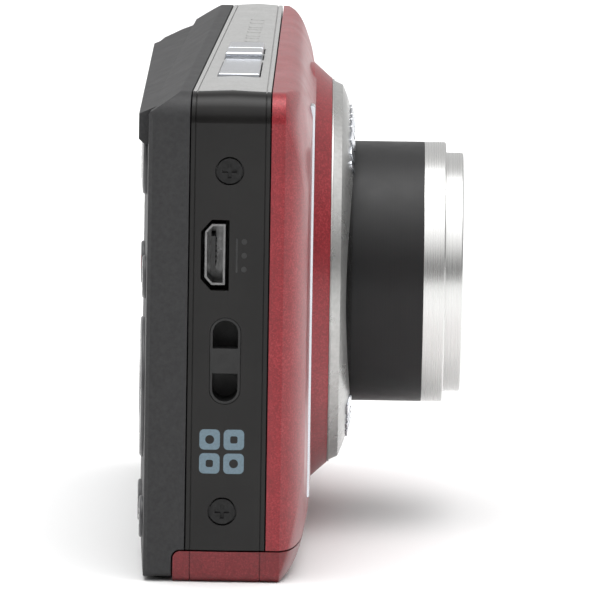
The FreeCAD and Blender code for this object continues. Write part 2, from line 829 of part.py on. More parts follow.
def tripod_socket():
    neck = rod((0, 0, 1), 0, 0, 0, 3.4, 2.0)
    body = rod((0, 0, 1), 0, 0, 1.5, 3.7, 4.7)
    bore = rod((0, 0, 1), 0, 0, -1, 2.55, 6.2)
    return piece("tripod_socket", cut(fuse(neck, body), bore))


# ---------------------------------------------------------------- rear keys
THUMB_LEAN = math.atan2(0.8, 29.3)
THUMB_OUT = (-math.sin(THUMB_LEAN), math.cos(THUMB_LEAN), 0)
ROUND_KEYS = {
    # name: x from the grip end, z, radius
    "video_button": (21.5, 36.3, 2.65),
    "flash_button": (9.0, 36.3, 2.65),
    "menu_button": (9.0, 6.6, 2.6),
    "play_button": (21.5, 6.6, 2.6),
}
PAD = {"x": 15.3, "z": 21.8, "r": 8.6}
ROCKER = {"x0": 7.0, "x1": 24.0, "z0": 46.5, "z1": 53.1}


def thumb_point(distance, above):
    """A point above the thumb panel, at a distance from the grip end."""
    face = num(D["thumb_edge_y"]) + (distance - 0.7) * math.tan(THUMB_LEAN)
    x = distance - num(D["lens_from_grip"])
    return x + THUMB_OUT[0] * above, face + THUMB_OUT[1] * above


def thumb_rod(distance, z, radius, start, length):
    """A rod square to the thumb panel, starting that far above its face."""
    x, y = thumb_point(distance, start)
    return rod(THUMB_OUT, x, y, z, radius, length)


def thumb_block(area, grow, start, end, rounding=2.2):
    """A rounded block square to the thumb panel."""
    middle = (area["x0"] + area["x1"]) / 2
    half = (area["x1"] - area["x0"]) / 2 + grow
    x, y = thumb_point(middle, end)
    turn = FreeCAD.Rotation(Vector(0, 0, 1), math.degrees(THUMB_LEAN)).multiply(TURN["y"])
    outline = rounded(-half, half, area["z0"] - grow, area["z1"] + grow, rounding + grow)
    profile = sketch(outline, turn, x, y, 0)
    inward = Vector(-THUMB_OUT[0], -THUMB_OUT[1], 0)
    return extrude(profile, inward, end - start)


def stands_above(distance, height):
    """Picks the edges whose middle is this far out from the thumb panel."""
    level = thumb_point(distance, height)[1]
    return lambda edge: edge.CenterOfMass.y > level


def thumb_keys():
    for name, (x, z, radius) in ROUND_KEYS.items():
        cap = round_edges(thumb_rod(x, z, radius, -1.3, 1.75), 0.3, stands_above(x, 0.3))
        piece(name, fuse(cap, thumb_rod(x, z, 1.0, -1.55, 0.6)))
    x = PAD["x"]
    z = PAD["z"]
    ring = cut(thumb_rod(x, z, PAD["r"], -1.4, 1.85), thumb_rod(x, z, 3.72, -3, 6))
    piece("direction_pad", round_edges(ring, 0.3, stands_above(x, 0.3)))
    centre = round_edges(thumb_rod(x, z, 3.55, -1.4, 1.7), 0.25, stands_above(x, 0.2))
    piece("set_button", fuse(centre, thumb_rod(x, z, 1.0, -1.65, 0.5)))
    rocker = thumb_block(ROCKER, 0.0, -1.2, 0.55)
    above = stands_above(15.5, 0.45)
    rocker = round_edges(rocker, 0.3, lambda edge: above(edge) and edge.Length > 3)
    piece("zoom_rocker", rocker)


# ---------------------------------------------------------------- battery door
def battery_door():
    pin_x = from_grip(D["door_pin_x"])
    pin_z = D["door_pin_z"]
    knuckle = D["door_knuckle"]
    side = [
        (from_grip(-1), D["door_under"]),
        (pin_x, D["door_under"], pin_x + knuckle, pin_z),
        (pin_x, pin_z + knuckle),
        (pin_x - 0.8, D["door_top"]),
        (from_grip(-1), D["door_top"]),
    ]
    slab = prism("y", side, -12, D["door_rear_y"])
    rear = rounded(from_grip(D["ridge"]), from_grip(60), 0, 30, D["base_corner"])
    rear_part = prism("y", rear, 5, D["door_rear_y"])
    envelope = fuse(front_block(), band_filled(), rear_part)
    tray = box(from_grip(2.2), from_grip(32.6), -5.4, 6.3, 1.75, 5)
    pin_hole = rod((0, 1, 0), pin_x, -6, pin_z, 0.66, 13)
    middle = box(pin_x - 2.0, pin_x + 4, -2.2, 3.2, -1, 5)
    form = common(envelope, slab, door_profile(0))
    body = cut(form, tray, pin_hole, middle, groove_lines(0.12))
    return piece("battery_door", body)


def band_filled():
    """The band's outer form without its seam gaps, for pieces that run across the seams."""
    edge_r = (D["top_corner"], D["base_corner"])
    ridge_r = (D["top_corner"] + D["ridge"], D["base_corner"] + D["ridge"])
    inset = D["ridge"] - 0.02
    rear = seam_plane(D["rear_seam_grip"] + 0.1, D["rear_seam_far"] + 0.1, inset, *edge_r)
    ridge = seam_plane(
        (D["rear_seam_grip"] + D["front_seam_grip"]) / 2,
        (D["rear_seam_far"] + D["front_seam_far"]) / 2,
        D["ridge"] * 0,
        *ridge_r,
    )
    front = seam_plane(D["front_seam_grip"] - 0.1, D["front_seam_far"] - 0.1, inset, *edge_r)
    loft = doc.addObject("Part::Loft", "band_filled")
    loft.Sections = [front, ridge, rear]
    loft.Solid = True
    loft.Ruled = True
    return loft


def door_hinge():
    pin_x = from_grip(D["door_pin_x"])
    pin_z = D["door_pin_z"]
    axle = rod((0, 1, 0), pin_x, -4.9, pin_z, 0.6, 10.9)
    knuckle = rod((0, 1, 0), pin_x, -2.1, pin_z, D["door_knuckle"] - 0.05, 5.2)
    plate = box(pin_x, pin_x + 9.5, -2.1, 2.9, pin_z - 0.2, pin_z + 0.5)
    return piece("door_hinge_slider", fuse(axle, knuckle, plate))


def door_contacts():
    plate = box(from_grip(5.0), from_grip(31.0), -3.4, 4.6, 1.78, 2.08)
    springs = []
    for i in range(2):
        x = from_grip(D["cell_first"] + D["cell_pitch"] * i)
        x = x - 0.9 if i else x
        springs.append(box(x - 2.0, x + 2.0, -0.4, 3.6, 2.07, 3.7))
    return piece("door_contact_plate", fuse(plate, *springs))


# ---------------------------------------------------------------- battery compartment and electronics
def battery_box():
    x0 = from_grip(6.15)
    x1 = from_grip(36.25)
    outer = box(x0, x1, -6.2, 9.25, 4.3, 54.9)
    wells = []
    for i in range(2):
        x = from_grip(D["cell_first"] + D["cell_pitch"] * i)
        wells.append(rod((0, 0, 1), x, D["cell_y"], -1, D["cell_r"] + 0.12, 60))
    open_side = box(from_grip(33.0), from_grip(40), -12, 12, -1, 60)
    bosses = []
    holes = []
    for y, z in SIDE_SCREWS.values():
        bosses.append(rod((1, 0, 0), from_grip(3.4), y, z, 1.7, 3.2))
        holes.append(rod((1, 0, 0), from_grip(0), y, z, 0.74, 6.0))
    front_trim = box(x0 - 1, x1 + 1, -7, -6.0, 3, 60)
    rear_trim = box(x0 - 1, x1 + 1, 4.7, 12, 54.3, 60)
    return piece("battery_box", cut(fuse(outer, *bosses), *wells, open_side, *holes, front_trim, rear_trim))


def batteries():
    for i in range(2):
        x = from_grip(D["cell_first"] + D["cell_pitch"] * i)
        can = rod((0, 0, 1), x, D["cell_y"], D["cell_base"], D["cell_r"], D["cell_long"] - 1.3)
        cap = rod((0, 0, 1), x, D["cell_y"], D["cell_base"] + D["cell_long"] - 1.31, 2.6, 1.31)
        piece(f"battery_{i + 1}", fuse(can, cap))
    top = D["cell_base"] + D["cell_long"]
    contacts = []
    for i in range(2):
        x = from_grip(D["cell_first"] + D["cell_pitch"] * i)
        contacts.append(box(x - 4.5, x + 4.5, -2.4, 4.6, top + 0.02, top + 0.42))
    piece("cell_contacts", group(*contacts))


def electronics():
    board = box(from_grip(37.2), from_grip(90.4), 7.0, 7.9, 4.4, 52.0)
    chips = [
        box(from_grip(50), from_grip(63), 5.75, 6.95, 20, 33),
        box(from_grip(68), from_grip(76), 5.95, 6.95, 38, 46),
        box(from_grip(42), from_grip(47), 5.95, 6.95, 8, 16),
    ]
    piece("main_board", group(board, *chips))
    piece("screen_module", box(from_grip(34.2), from_grip(86.4), 8.1, 9.85, 8.6, 49.0))
    rear_keys = box(from_grip(3.0), from_grip(28.6), 9.35, 9.8, 3.2, 54.0)
    deck_keys_board = box(from_grip(14.0), from_grip(46.0), -2.2, 3.6, 55.35, 55.95)
    centres = [(x, z) for x, z, radius in ROUND_KEYS.values()] + [(PAD["x"], PAD["z"])]
    domes = [thumb_dome(x, z) for x, z in centres]
    piece("key_boards", group(rear_keys, deck_keys_board, *domes))
    piece("flash_capacitor", rod((0, 0, 1), from_grip(84.5), 1.6, 6.0, 4.0, 27.0))
    far_bracket()


def far_bracket():
    """Bracket at the far end that takes two case screws and holds the speaker."""
    x0 = from_grip(88.8)
    x1 = from_grip(91.1)
    web = box(from_grip(90.5), x1, -4.2, 1.8, 7.0, 52.5)
    blocks = [box(x0, x1, -3.2, 0.8, z - 2, z + 2) for y, z in FAR_SCREWS.values()]
    holes = [rod((1, 0, 0), from_grip(85), y, z, 0.74, 9) for y, z in FAR_SCREWS.values()]
    seat = rod((1, 0, 0), from_grip(85), -1.2, 31.3, 2.65, 9)
    speaker = rod((1, 0, 0), from_grip(88.9), -1.2, 31.3, 2.6, 2.2)
    return piece("far_bracket", group(cut(fuse(web, *blocks), seat, *holes), speaker))


def thumb_dome(distance, z):
    x, _ = thumb_point(distance, 0)
    return rod((0, 1, 0), x, 9.81, z, 1.6, 0.12)


# ---------------------------------------------------------------- flash and lamp
def flash_unit():
    outline = rounded(from_grip(FLASH["x0"]), from_grip(FLASH["x1"]), FLASH["z0"], FLASH["z1"], 0.9)
    lens = prism("y", outline, -8.32, -7.3)
    piece("flash_window", lens)
    x0 = from_grip(FLASH["x0"] + 0.6)
    x1 = from_grip(FLASH["x1"] - 0.6)
    z0 = FLASH["z0"] + 0.5
    z1 = FLASH["z1"] - 0.5
    bowl = box(x0, x1, -7.25, -6.3, z0, z1)
    tube_z = (z0 + z1) / 2
    hollow = box(x0 + 0.4, x1 - 0.4, -8, -6.6, z0 + 0.4, z1 - 0.4)
    tube = rod((1, 0, 0), x0 + 0.6, -6.98, tube_z, 0.25, FLASH["x1"] - FLASH["x0"] - 2.4)
    piece("flash_reflector", group(cut(bowl, hollow), tube))
    lamp = rod((0, 1, 0), from_grip(LAMP["x"]), -8.36, LAMP["z"], LAMP["r"], 1.8)
    piece("focus_lamp", round_edges(lamp, 0.3, lambda edge: at(edge.CenterOfMass.y, -8.36)))


# ---------------------------------------------------------------- lens
def bezel_outline(sink):
    """Section of the domed ring, as (radius, Y) corners; sink draws its outer skin in."""
    front = D["bezel_front_y"] + sink
    return [
        (D["barrel_r"] + 0.25, -12.2),
        (21.0, D["boss_y"] - 0.02),
        (D["boss_top_r"] - 0.08 - sink, D["boss_y"] - 0.02),
        (D["boss_top_r"] - 0.08 - sink, D["boss_y"] - 0.25),
        (D["bezel_r"] - sink, D["boss_y"] - 0.26),
        (D["bezel_lip_r"] - sink, -12.04 + sink, 20.7 - sink, -13.05 + sink),
        (D["barrel_r"] + 0.25, front),
    ]


def oval_prism(shrink):
    oval = doc.addObject("Part::Ellipse", "oval")
    bind(oval, "MajorRadius", D["insert_half_x"] - shrink)
    bind(oval, "MinorRadius", D["insert_half_z"] - shrink)
    place(oval, 0, -8, D["lens_up"], TURN["y"])
    return extrude(oval, DIRECTION["y"], 8)


def bezel():
    silver = cut(turned(bezel_outline(0)), oval_prism(0))
    piece("lens_bezel", silver)
    black = common(turned(bezel_outline(0.06)), oval_prism(0.06))
    piece("bezel_insert", black)


GEAR = {
    "module": 0.4,
    "cam": 92,                    # teeth
    "idler": 20,
    "pinion": 10,
    "y0": -0.7,
    "y1": 0.9,
    "aim": math.radians(40),      # direction of the idler from the lens axis
    "onward": math.radians(62),   # direction of the pinion from the idler
}


def lens_mount():
    """Fixed sleeve and back plate that carry the lens in the body."""
    inner = D["barrel_r"] + 1.4 + D["cam_clear"]
    tube = sleeve(inner + 0.75, inner, -0.9, -10.6)
    flange = turned([(inner + 0.7, -6.35), (20.2, -6.35), (20.2, -5.6), (inner + 0.7, -5.6)])
    plate = box(-16.5, 16.5, 2.2, 3.6, D["lens_up"] - 16.5, D["lens_up"] + 16.5)
    window = box(-4.5, 4.5, 0, 6, D["lens_up"] - 3.5, D["lens_up"] + 3.5)
    posts = []
    for angle in (135, 225, 315):
        x = 20.2 * math.cos(math.radians(angle))
        z = 20.2 * math.sin(math.radians(angle))
        posts.append(rod((0, 1, 0), x, -5.9, D["lens_up"] + z, 0.9, 8.2))
    return piece("lens_mount", fuse(tube, flange, cut(plate, window), *posts, gear_bracket()))


def gear_outline(teeth, module):
    """Corner radii and angles of a spur gear with straight-flanked teeth and room to run."""
    pitch = teeth * module / 2
    step = 2 * math.pi / teeth
    root = pitch - 1.2 * module
    tip = pitch + 0.8 * module
    shares = ((root, -0.30), (tip, -0.11), (tip, 0.11), (root, 0.30))
    return [(radius, (i + share) * step) for i in range(teeth) for radius, share in shares]


def gear(teeth, x, z, turn, bore, low, high):
    """A spur gear about an axis along Y, with one tooth at the angle turn."""
    corners = []
    for radius, angle in gear_outline(teeth, GEAR["module"]):
        angle = angle + turn
        corners.append(Vector(x + radius * math.cos(angle), low, z + radius * math.sin(angle)))
    wire = Part.makePolygon(corners + corners[:1])
    solid = Part.Face(wire).extrude(Vector(0, high - low, 0))
    hole = Part.makeCylinder(bore, high - low + 2, Vector(x, low - 1, z), Vector(0, 1, 0))
    made = doc.addObject("Part::Feature", "gear")
    made.Shape = solid.cut(hole)
    return made


def gear_axes():
    """Centres (x, z) of the idler and of the pinion, each in mesh with the gear before it."""
    module = GEAR["module"]
    reach = (GEAR["cam"] + GEAR["idler"]) * module / 2
    idler_x = reach * math.cos(GEAR["aim"])
    idler_z = num(D["lens_up"]) + reach * math.sin(GEAR["aim"])
    reach = (GEAR["idler"] + GEAR["pinion"]) * module / 2
    pinion_x = idler_x + reach * math.cos(GEAR["onward"])
    pinion_z = idler_z + reach * math.sin(GEAR["onward"])
    return idler_x, idler_z, pinion_x, pinion_z


def gear_bracket():
    """Arm of the lens mount that carries the idler's stud and the motor."""
    idler_x, idler_z, pinion_x, pinion_z = gear_axes()
    stud = rod((0, 1, 0), idler_x, -1.2, idler_z, 0.6, 2.6)
    arm = box(idler_x - 2.2, pinion_x + 4.2, 1.3, 2.21, idler_z - 2.4, pinion_z + 3.4)
    return fuse(stud, cut(arm, rod((0, 1, 0), pinion_x, 0, pinion_z, 0.8, 4)))


def gear_train():
    """Motor, pinion and idler that turn the cam ring. Each gear is in mesh with the next at rest."""
    idler_x, idler_z, pinion_x, pinion_z = gear_axes()
    up = num(D["lens_up"])
    aim = GEAR["aim"]
    onward = GEAR["onward"]
    bore = num(D["barrel_r"]) + num(D["cam_clear"])
    cam_gear = gear(GEAR["cam"], 0, up, aim, bore, GEAR["y0"], GEAR["y1"])
    tube = sleeve(D["barrel_r"] + 1.4, bore, GEAR["y0"] + 0.1, -10.2)
    piece("cam_ring", fuse(tube, cam_gear))
    # the idler shows a gap where the cam ring shows a tooth, and the pinion a gap to its tooth
    idler_turn = aim + math.pi + math.pi / GEAR["idler"]
    piece("idler_gear", gear(GEAR["idler"], idler_x, idler_z, idler_turn, 0.66, GEAR["y0"], GEAR["y1"]))
    step = 2 * math.pi / GEAR["idler"]
    offset = (onward - idler_turn) / step
    lag = (offset - round(offset)) * step * GEAR["idler"] / GEAR["pinion"]
    pinion_turn = onward + math.pi + math.pi / GEAR["pinion"] + lag
    pinion = gear(GEAR["pinion"], pinion_x, pinion_z, pinion_turn, 0.3, GEAR["y0"], GEAR["y1"])
    shaft = rod((0, 1, 0), pinion_x, -1.2, pinion_z, 0.42, 5.0)
    piece("motor_pinion", fuse(pinion, shaft))
    can = rod((0, 1, 0), pinion_x, 2.22, pinion_z, 3.6, 4.58)
    bearing = rod((0, 1, 0), pinion_x, 0, pinion_z, 0.48, 4.4)
    piece("zoom_motor", cut(can, bearing))


def barrels():
    outer = D["barrel_r"]
    inner = outer - D["barrel_wall"]
    tube = sleeve(outer, inner, D["barrel_rear_y"], D["trim_y"] + 0.03)
    stop = sleeve(inner + 0.05, inner - 0.75, D["barrel_rear_y"], D["barrel_rear_y"] - 1.0)
    piece("outer_barrel", fuse(tube, stop))
    front = D["barrel_front_y"]
    trim = turned(
        [
            (inner, D["trim_y"]),
            (inner, front + 0.12),
            (inner + 0.12, front),
            (outer - 0.15, front),
            (outer, front + 0.15),
            (outer, D["trim_y"]),
        ]
    )
    piece("outer_barrel_trim", trim)
    nose_r = D["nose_r"]
    nose_front = D["nose_front_y"]
    shell = turned(
        [
            (nose_r - 1.1, D["nose_rear_y"]),
            (nose_r - 1.1, nose_front + 0.75),
            (nose_r - 1.75, nose_front + 0.75),
            (nose_r - 1.35, nose_front),
            (nose_r - 0.15, nose_front),
            (nose_r, nose_front + 0.15),
            (nose_r, D["nose_rear_y"]),
        ]
    )
    piece("inner_barrel", shell)


APERTURE = {"half_x": 5.6, "half_z": 4.3}


def aperture_outline(grow, corner):
    half_x = APERTURE["half_x"] + grow
    half_z = APERTURE["half_z"] + grow
    return rounded(-half_x, half_x, D["lens_up"] - half_z, D["lens_up"] + half_z, corner)


def cap_corner(radius, apex, rim):
    """Middle of the section of a round cap: its (radius, Y) half way out from the lens axis."""
    rise = num(rim) - num(apex)
    sphere = (radius**2 + rise**2) / (2 * rise)
    middle = sphere - math.copysign(math.sqrt(sphere**2 - radius**2 / 4), sphere)
    return radius / 2, apex + middle


def nose_parts():
    nose_r = D["nose_r"]
    front = D["nose_front_y"]
    inner = nose_r - 1.15
    disc = turned([(0, front + 0.8), (inner, front + 0.8), (inner, front + 1.5), (0, front + 1.5)])
    window = prism("y", aperture_outline(0, 3.6), -32, -20)
    bevel = turned([(0, front), (9.0, front), (7.6, front + 1.15), (0, front + 1.15)])
    piece("name_ring", cut(disc, window, bevel))
    apex = front + 3.3
    rim = front + 4.3
    flat = front + 5.4
    glass = turned([(0, apex, *cap_corner(6.6, apex, rim)), (6.6, rim), (6.6, flat), (0, flat)])
    holder = turned(
        [
            (6.7, front + 3.6),
            (inner, front + 3.6),
            (inner, front + 7.6),
            (5.2, front + 7.6),
            (5.2, front + 5.5),
            (6.7, front + 5.5),
        ]
    )
    pins = []
    for sign in (1, -1):
        z = D["lens_up"] + BLADE["z"] * sign
        pins.append(rod((0, 1, 0), BLADE["x"] * -sign, front + 1.55, z, 0.45, 2.2))
    piece("front_cell", fuse(holder, *pins))
    apex = front + 7.4
    rim = front + 6.9
    flat = front + 5.9
    second = turned([(0, flat), (5.1, flat), (5.1, rim, *cap_corner(5.1, apex, rim)), (0, apex)])
    piece("front_elements", group(glass, second))


BLADE = {"x": 10.5, "z": 3.0, "open": 40.0, "rim": 13.6}


def barrier_blades():
    """Two leaves that close the window in the nose. Each turns on a pin beside the front lens."""
    front = num(D["nose_front_y"])
    up = num(D["lens_up"])
    for name, sign, y in (("upper_blade", 1, front + 1.6), ("lower_blade", -1, front + 2.1)):
        pin_x = -BLADE["x"] * sign
        pin_z = up + BLADE["z"] * sign
        # drawn closed, as the half of the window it covers, then swung open about the pin
        u0 = -1.3
        u1 = BLADE["x"] + 7.0
        v0 = -BLADE["z"] - 0.25
        v1 = 2.3
        closed = [
            (u0, v1 - 1.0),
            (u0, -1.3),
            (2.4, v0),
            (u1, v0),
            (u1, v1 + 1.2),
            (6.0, v1 + 1.2),
            (1.0, 1.3),
        ]
        swing = math.radians(BLADE["open"]) + (math.pi if sign < 0 else 0)
        outline = []
        for u, v in closed:
            x = pin_x + u * math.cos(swing) - v * math.sin(swing)
            z = pin_z + u * math.sin(swing) + v * math.cos(swing)
            outline.append((x, z))
        leaf = prism("y", outline, y, y + 0.4)
        rim = turned([(0, y - 1), (BLADE["rim"], y - 1), (BLADE["rim"], y + 1), (0, y + 1)])
        clear = prism("y", aperture_outline(0.25, 3.7), y - 1, y + 1)
        hole = rod((0, 1, 0), pin_x, y - 1, pin_z, 0.5, 3)
        piece(name, cut(common(leaf, rim), clear, hole))


RAIL_X = 8.6


def focus_group():
    """Shutter, rear lens group on its two rails, and the sensor."""
    up = num(D["lens_up"])
    disc = sleeve(12.2, 4.2, -10.4, -12.4)
    flange = sleeve(15.2, 12.0, -10.6, -11.0)
    passages = [rod((0, 1, 0), RAIL_X * side, -14, up, 0.9, 6) for side in (1, -1)]
    piece("shutter_unit", cut(fuse(disc, flange), *passages))
    cell = sleeve(7.4, 4.6, -2.6, -5.2)
    lugs = [rod((0, 1, 0), RAIL_X * side, -4.6, up, 1.5, 1.8) for side in (1, -1)]
    guides = [rod((0, 1, 0), RAIL_X * side, -7, up, 0.56, 7) for side in (1, -1)]
    opening = turned([(0, -7), (4.6, -7), (4.6, 0), (0, 0)])
    piece("rear_cell", cut(fuse(cell, *lugs), opening, *guides))
    rear_glass = turned(
        [
            (0, -5.0, *cap_corner(4.5, -5.0, -4.4)),
            (4.5, -4.4),
            (4.5, -3.4, *cap_corner(4.5, -2.9, -3.4)),
            (0, -2.9),
        ]
    )
    piece("rear_element", rear_glass)
    rails = [rod((0, 1, 0), RAIL_X * side, -7.5, up, 0.5, 9.7) for side in (1, -1)]
    piece("focus_rails", group(*rails))
    chip = box(-3.9, 3.9, 2.6, 3.66, up - 3.0, up + 3.0)
    carrier = box(-9.5, 9.5, 3.65, 4.45, up - 8.5, up + 8.5)
    piece("image_sensor", fuse(chip, carrier))


# ---------------------------------------------------------------- build, check and write
def build():
    front_shell()
    grip_strip()
    rear_cover()
    screen_window()
    top_deck()
    deck_keys()
    grip_panel()
    far_panel()
    base_panel()
    case_screws()
    strap_lug()
    usb_port()
    nubs()
    tripod_socket()
    thumb_keys()
    battery_door()
    door_hinge()
    door_contacts()
    battery_box()
    batteries()
    electronics()
    flash_unit()
    bezel()
    lens_mount()
    gear_train()
    barrels()
    nose_parts()
    barrier_blades()
    focus_group()


def check():
    """Stops on any object that failed to compute and on any piece that isn't sound solids."""
    doc.recompute()
    for thing in doc.Objects:
        if "Invalid" in thing.State or "Error" in thing.State:
            raise RuntimeError(f"{thing.Name} ({thing.Label}) failed: {thing.State}")
    for label, thing in pieces.items():
        shape = thing.Shape
        if shape.isNull() or not shape.isValid() or not shape.Solids:
            raise RuntimeError(f"{label} isn't a sound solid")


def write():
    os.makedirs("parts", exist_ok=True)
    for label, thing in pieces.items():
        thing.Shape.exportStep(f"parts/{label}.step")
        print(f"{label:22s} solids {len(thing.Shape.Solids)}  volume {thing.Shape.Volume:9.1f}")


build()
check()
write()
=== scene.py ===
import json
import math

import bmesh
import bpy
from mathutils import Matrix, Vector


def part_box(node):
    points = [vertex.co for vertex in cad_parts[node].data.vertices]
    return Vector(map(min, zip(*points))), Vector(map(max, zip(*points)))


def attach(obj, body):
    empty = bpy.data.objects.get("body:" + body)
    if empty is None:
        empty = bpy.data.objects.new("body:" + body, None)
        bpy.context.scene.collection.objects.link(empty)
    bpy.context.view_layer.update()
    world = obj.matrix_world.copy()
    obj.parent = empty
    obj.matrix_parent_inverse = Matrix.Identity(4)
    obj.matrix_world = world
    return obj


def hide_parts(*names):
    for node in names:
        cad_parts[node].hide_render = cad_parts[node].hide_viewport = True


# Compact digital camera: looks, detail pieces, studio and view. Metres throughout.
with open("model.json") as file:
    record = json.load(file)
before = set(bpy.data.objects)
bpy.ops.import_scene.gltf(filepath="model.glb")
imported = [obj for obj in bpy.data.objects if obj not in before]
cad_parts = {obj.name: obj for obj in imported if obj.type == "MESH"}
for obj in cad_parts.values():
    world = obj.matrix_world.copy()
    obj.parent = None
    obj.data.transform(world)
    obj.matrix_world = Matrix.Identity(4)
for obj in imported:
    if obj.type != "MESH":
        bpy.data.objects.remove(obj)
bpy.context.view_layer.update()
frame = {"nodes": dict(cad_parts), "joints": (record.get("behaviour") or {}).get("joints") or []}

MM = 0.001
BODY = "camera_body"
NODES = frame["nodes"]


def middle(node):
    low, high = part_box(node)
    return (low + high) / 2


def joint(name):
    return next(j for j in frame["joints"] if j["name"] == name)


LENS = Vector(joint("cam_turn")["pos_m"])      # a point on the lens axis
LENS_UP = LENS.z
GRIP_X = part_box("grip_panel")[0].x             # outermost edge of the grip end


# ---------------------------------------------------------------- shader helpers
class Finish:
    """One material and short calls for the nodes that it is made of."""

    def __init__(self, name, color, metallic=0.0, roughness=0.5, **inputs):
        self.material = bpy.data.materials.new(name)
        self.material.use_nodes = True
        self.tree = self.material.node_tree
        self.shader = self.tree.nodes["Principled BSDF"]
        self.shader.inputs["Base Color"].default_value = (*color, 1)
        self.shader.inputs["Metallic"].default_value = metallic
        self.shader.inputs["Roughness"].default_value = roughness
        for key, value in inputs.items():
            self.shader.inputs[key.replace("_", " ").title().replace("Ior", "IOR")].default_value = value
        self.place = self.node("ShaderNodeTexCoord").outputs["Object"]
        self.normal = None

    def node(self, kind, **settings):
        made = self.tree.nodes.new(kind)
        for key, value in settings.items():
            setattr(made, key, value)
        return made

    def link(self, source, target):
        self.tree.links.new(source, target)

    def noise(self, size, detail=3.0, rough=0.55, where=None):
        """Noise whose features are about this size, in metres."""
        made = self.node("ShaderNodeTexNoise")
        made.inputs["Scale"].default_value = 1 / size
        made.inputs["Detail"].default_value = detail
        made.inputs["Roughness"].default_value = rough
        self.link(where or self.place, made.inputs["Vector"])
        return made.outputs["Fac"]

    def cells(self, size, output="Distance"):
        made = self.node("ShaderNodeTexVoronoi")
        made.inputs["Scale"].default_value = 1 / size
        self.link(self.place, made.inputs["Vector"])
        return made.outputs[output]

    def math(self, operation, a, b=None):
        made = self.node("ShaderNodeMath", operation=operation)
        for socket, value in zip(made.inputs, (a, b)):
            if isinstance(value, (int, float)):
                socket.default_value = value
            elif value is not None:
                self.link(value, socket)
        return made.outputs[0]

    def spread(self, source, low, high, start=0.3, end=0.7):
        """Maps a pattern on to a range of values."""
        made = self.node("ShaderNodeMapRange")
        for key, value in (("From Min", start), ("From Max", end), ("To Min", low), ("To Max", high)):
            made.inputs[key].default_value = value
        self.link(source, made.inputs["Value"])
        return made.outputs["Result"]

    def tint(self, source, *stops):
        """Colours the surface by a pattern; each stop is (position, colour)."""
        ramp = self.node("ShaderNodeValToRGB")
        elements = ramp.color_ramp.elements
        while len(elements) < len(stops):
            elements.new(0.5)
        for element, (position, color) in zip(elements, stops):
            element.position = position
            element.color = (*color, 1)
        self.link(source, ramp.inputs["Fac"])
        self.link(ramp.outputs["Color"], self.shader.inputs["Base Color"])
        return self

    def rough(self, source, low, high):
        self.link(self.spread(source, low, high), self.shader.inputs["Roughness"])
        return self

    def soften(self, radius):
        """Rounds the shading of hard edges by a small radius, in metres."""
        made = self.node("ShaderNodeBevel", samples=4)
        made.inputs["Radius"].default_value = radius
        self.normal = made.outputs["Normal"]
        self.link(self.normal, self.shader.inputs["Normal"])
        return self

    def relief(self, source, height, strength=1.0):
        """Bump of this height, in metres."""
        made = self.node("ShaderNodeBump")
        made.inputs["Strength"].default_value = strength
        made.inputs["Distance"].default_value = height
        self.link(source, made.inputs["Height"])
        if self.normal is not None:
            self.link(self.normal, made.inputs["Normal"])
        self.normal = made.outputs["Normal"]
        self.link(self.normal, self.shader.inputs["Normal"])
        return self

    def along(self, axis):
        """One coordinate of the surface point."""
        made = self.node("ShaderNodeSeparateXYZ")
        self.link(self.place, made.inputs[0])
        return made.outputs[axis]

    def turning(self):
        """Runs along a turned profile: distance from the lens axis plus position along it."""
        away = self.node("ShaderNodeVectorMath", operation="SUBTRACT")
        self.link(self.place, away.inputs[0])
        away.inputs[1].default_value = (0, 0, LENS_UP)
        flat = self.node("ShaderNodeVectorMath", operation="MULTIPLY")
        self.link(away.outputs[0], flat.inputs[0])
        flat.inputs[1].default_value = (1, 0, 1)
        length = self.node("ShaderNodeVectorMath", operation="LENGTH")
        self.link(flat.outputs[0], length.inputs[0])
        return self.math("ADD", length.outputs["Value"], self.along("Y"))

    def lines(self, where, pitch):
        """Uneven fine lines across a running coordinate."""
        made = self.node("ShaderNodeTexNoise", noise_dimensions="1D")
        made.inputs["Scale"].default_value = 1 / pitch
        made.inputs["Detail"].default_value = 4.0
        made.inputs["Roughness"].default_value = 0.6
        self.link(where, made.inputs["W"])
        return made.outputs["Fac"]


# ---------------------------------------------------------------- finishes
def red_paint(name="red_paint", depth=0.68):
    """Red metallic paint under a clear coat, with fine flakes."""
    made = Finish(
        name, (0.5, 0.02, 0.035), metallic=0.3, roughness=0.46, coat_weight=0.34, coat_roughness=0.16
    )
    flakes = made.cells(0.16 * MM, "Color")
    grain = made.node("ShaderNodeSeparateColor")
    made.link(flakes, grain.inputs[0])
    fine = made.math("MULTIPLY", grain.outputs["Red"], 0.55)
    broad = made.math("MULTIPLY", made.noise(4 * MM), 0.45)
    patchy = made.math("ADD", fine, broad)
    shades = ((0.15, (0.24, 0.008, 0.014)), (0.6, (0.37, 0.016, 0.026)), (0.95, (0.55, 0.05, 0.065)))
    made.tint(patchy, *((at, [c * depth for c in color]) for at, color in shades))
    made.rough(made.noise(7 * MM), 0.36, 0.46)
    made.soften(0.12 * MM).relief(made.noise(0.22 * MM, 2), 0.004 * MM, 0.5)
    return made.material


def rear_plastic():
    """Dark moulded plastic with a fine spark-eroded texture."""
    made = Finish("rear_plastic", (0.019, 0.019, 0.02), roughness=0.55, specular_ior_level=0.45)
    made.tint(made.noise(0.5 * MM, 4), (0.3, (0.014, 0.014, 0.015)), (0.7, (0.024, 0.024, 0.025)))
    made.rough(made.noise(3 * MM), 0.51, 0.57)
    made.soften(0.22 * MM).relief(made.noise(0.17 * MM, 3), 0.016 * MM, 0.75)
    return made.material


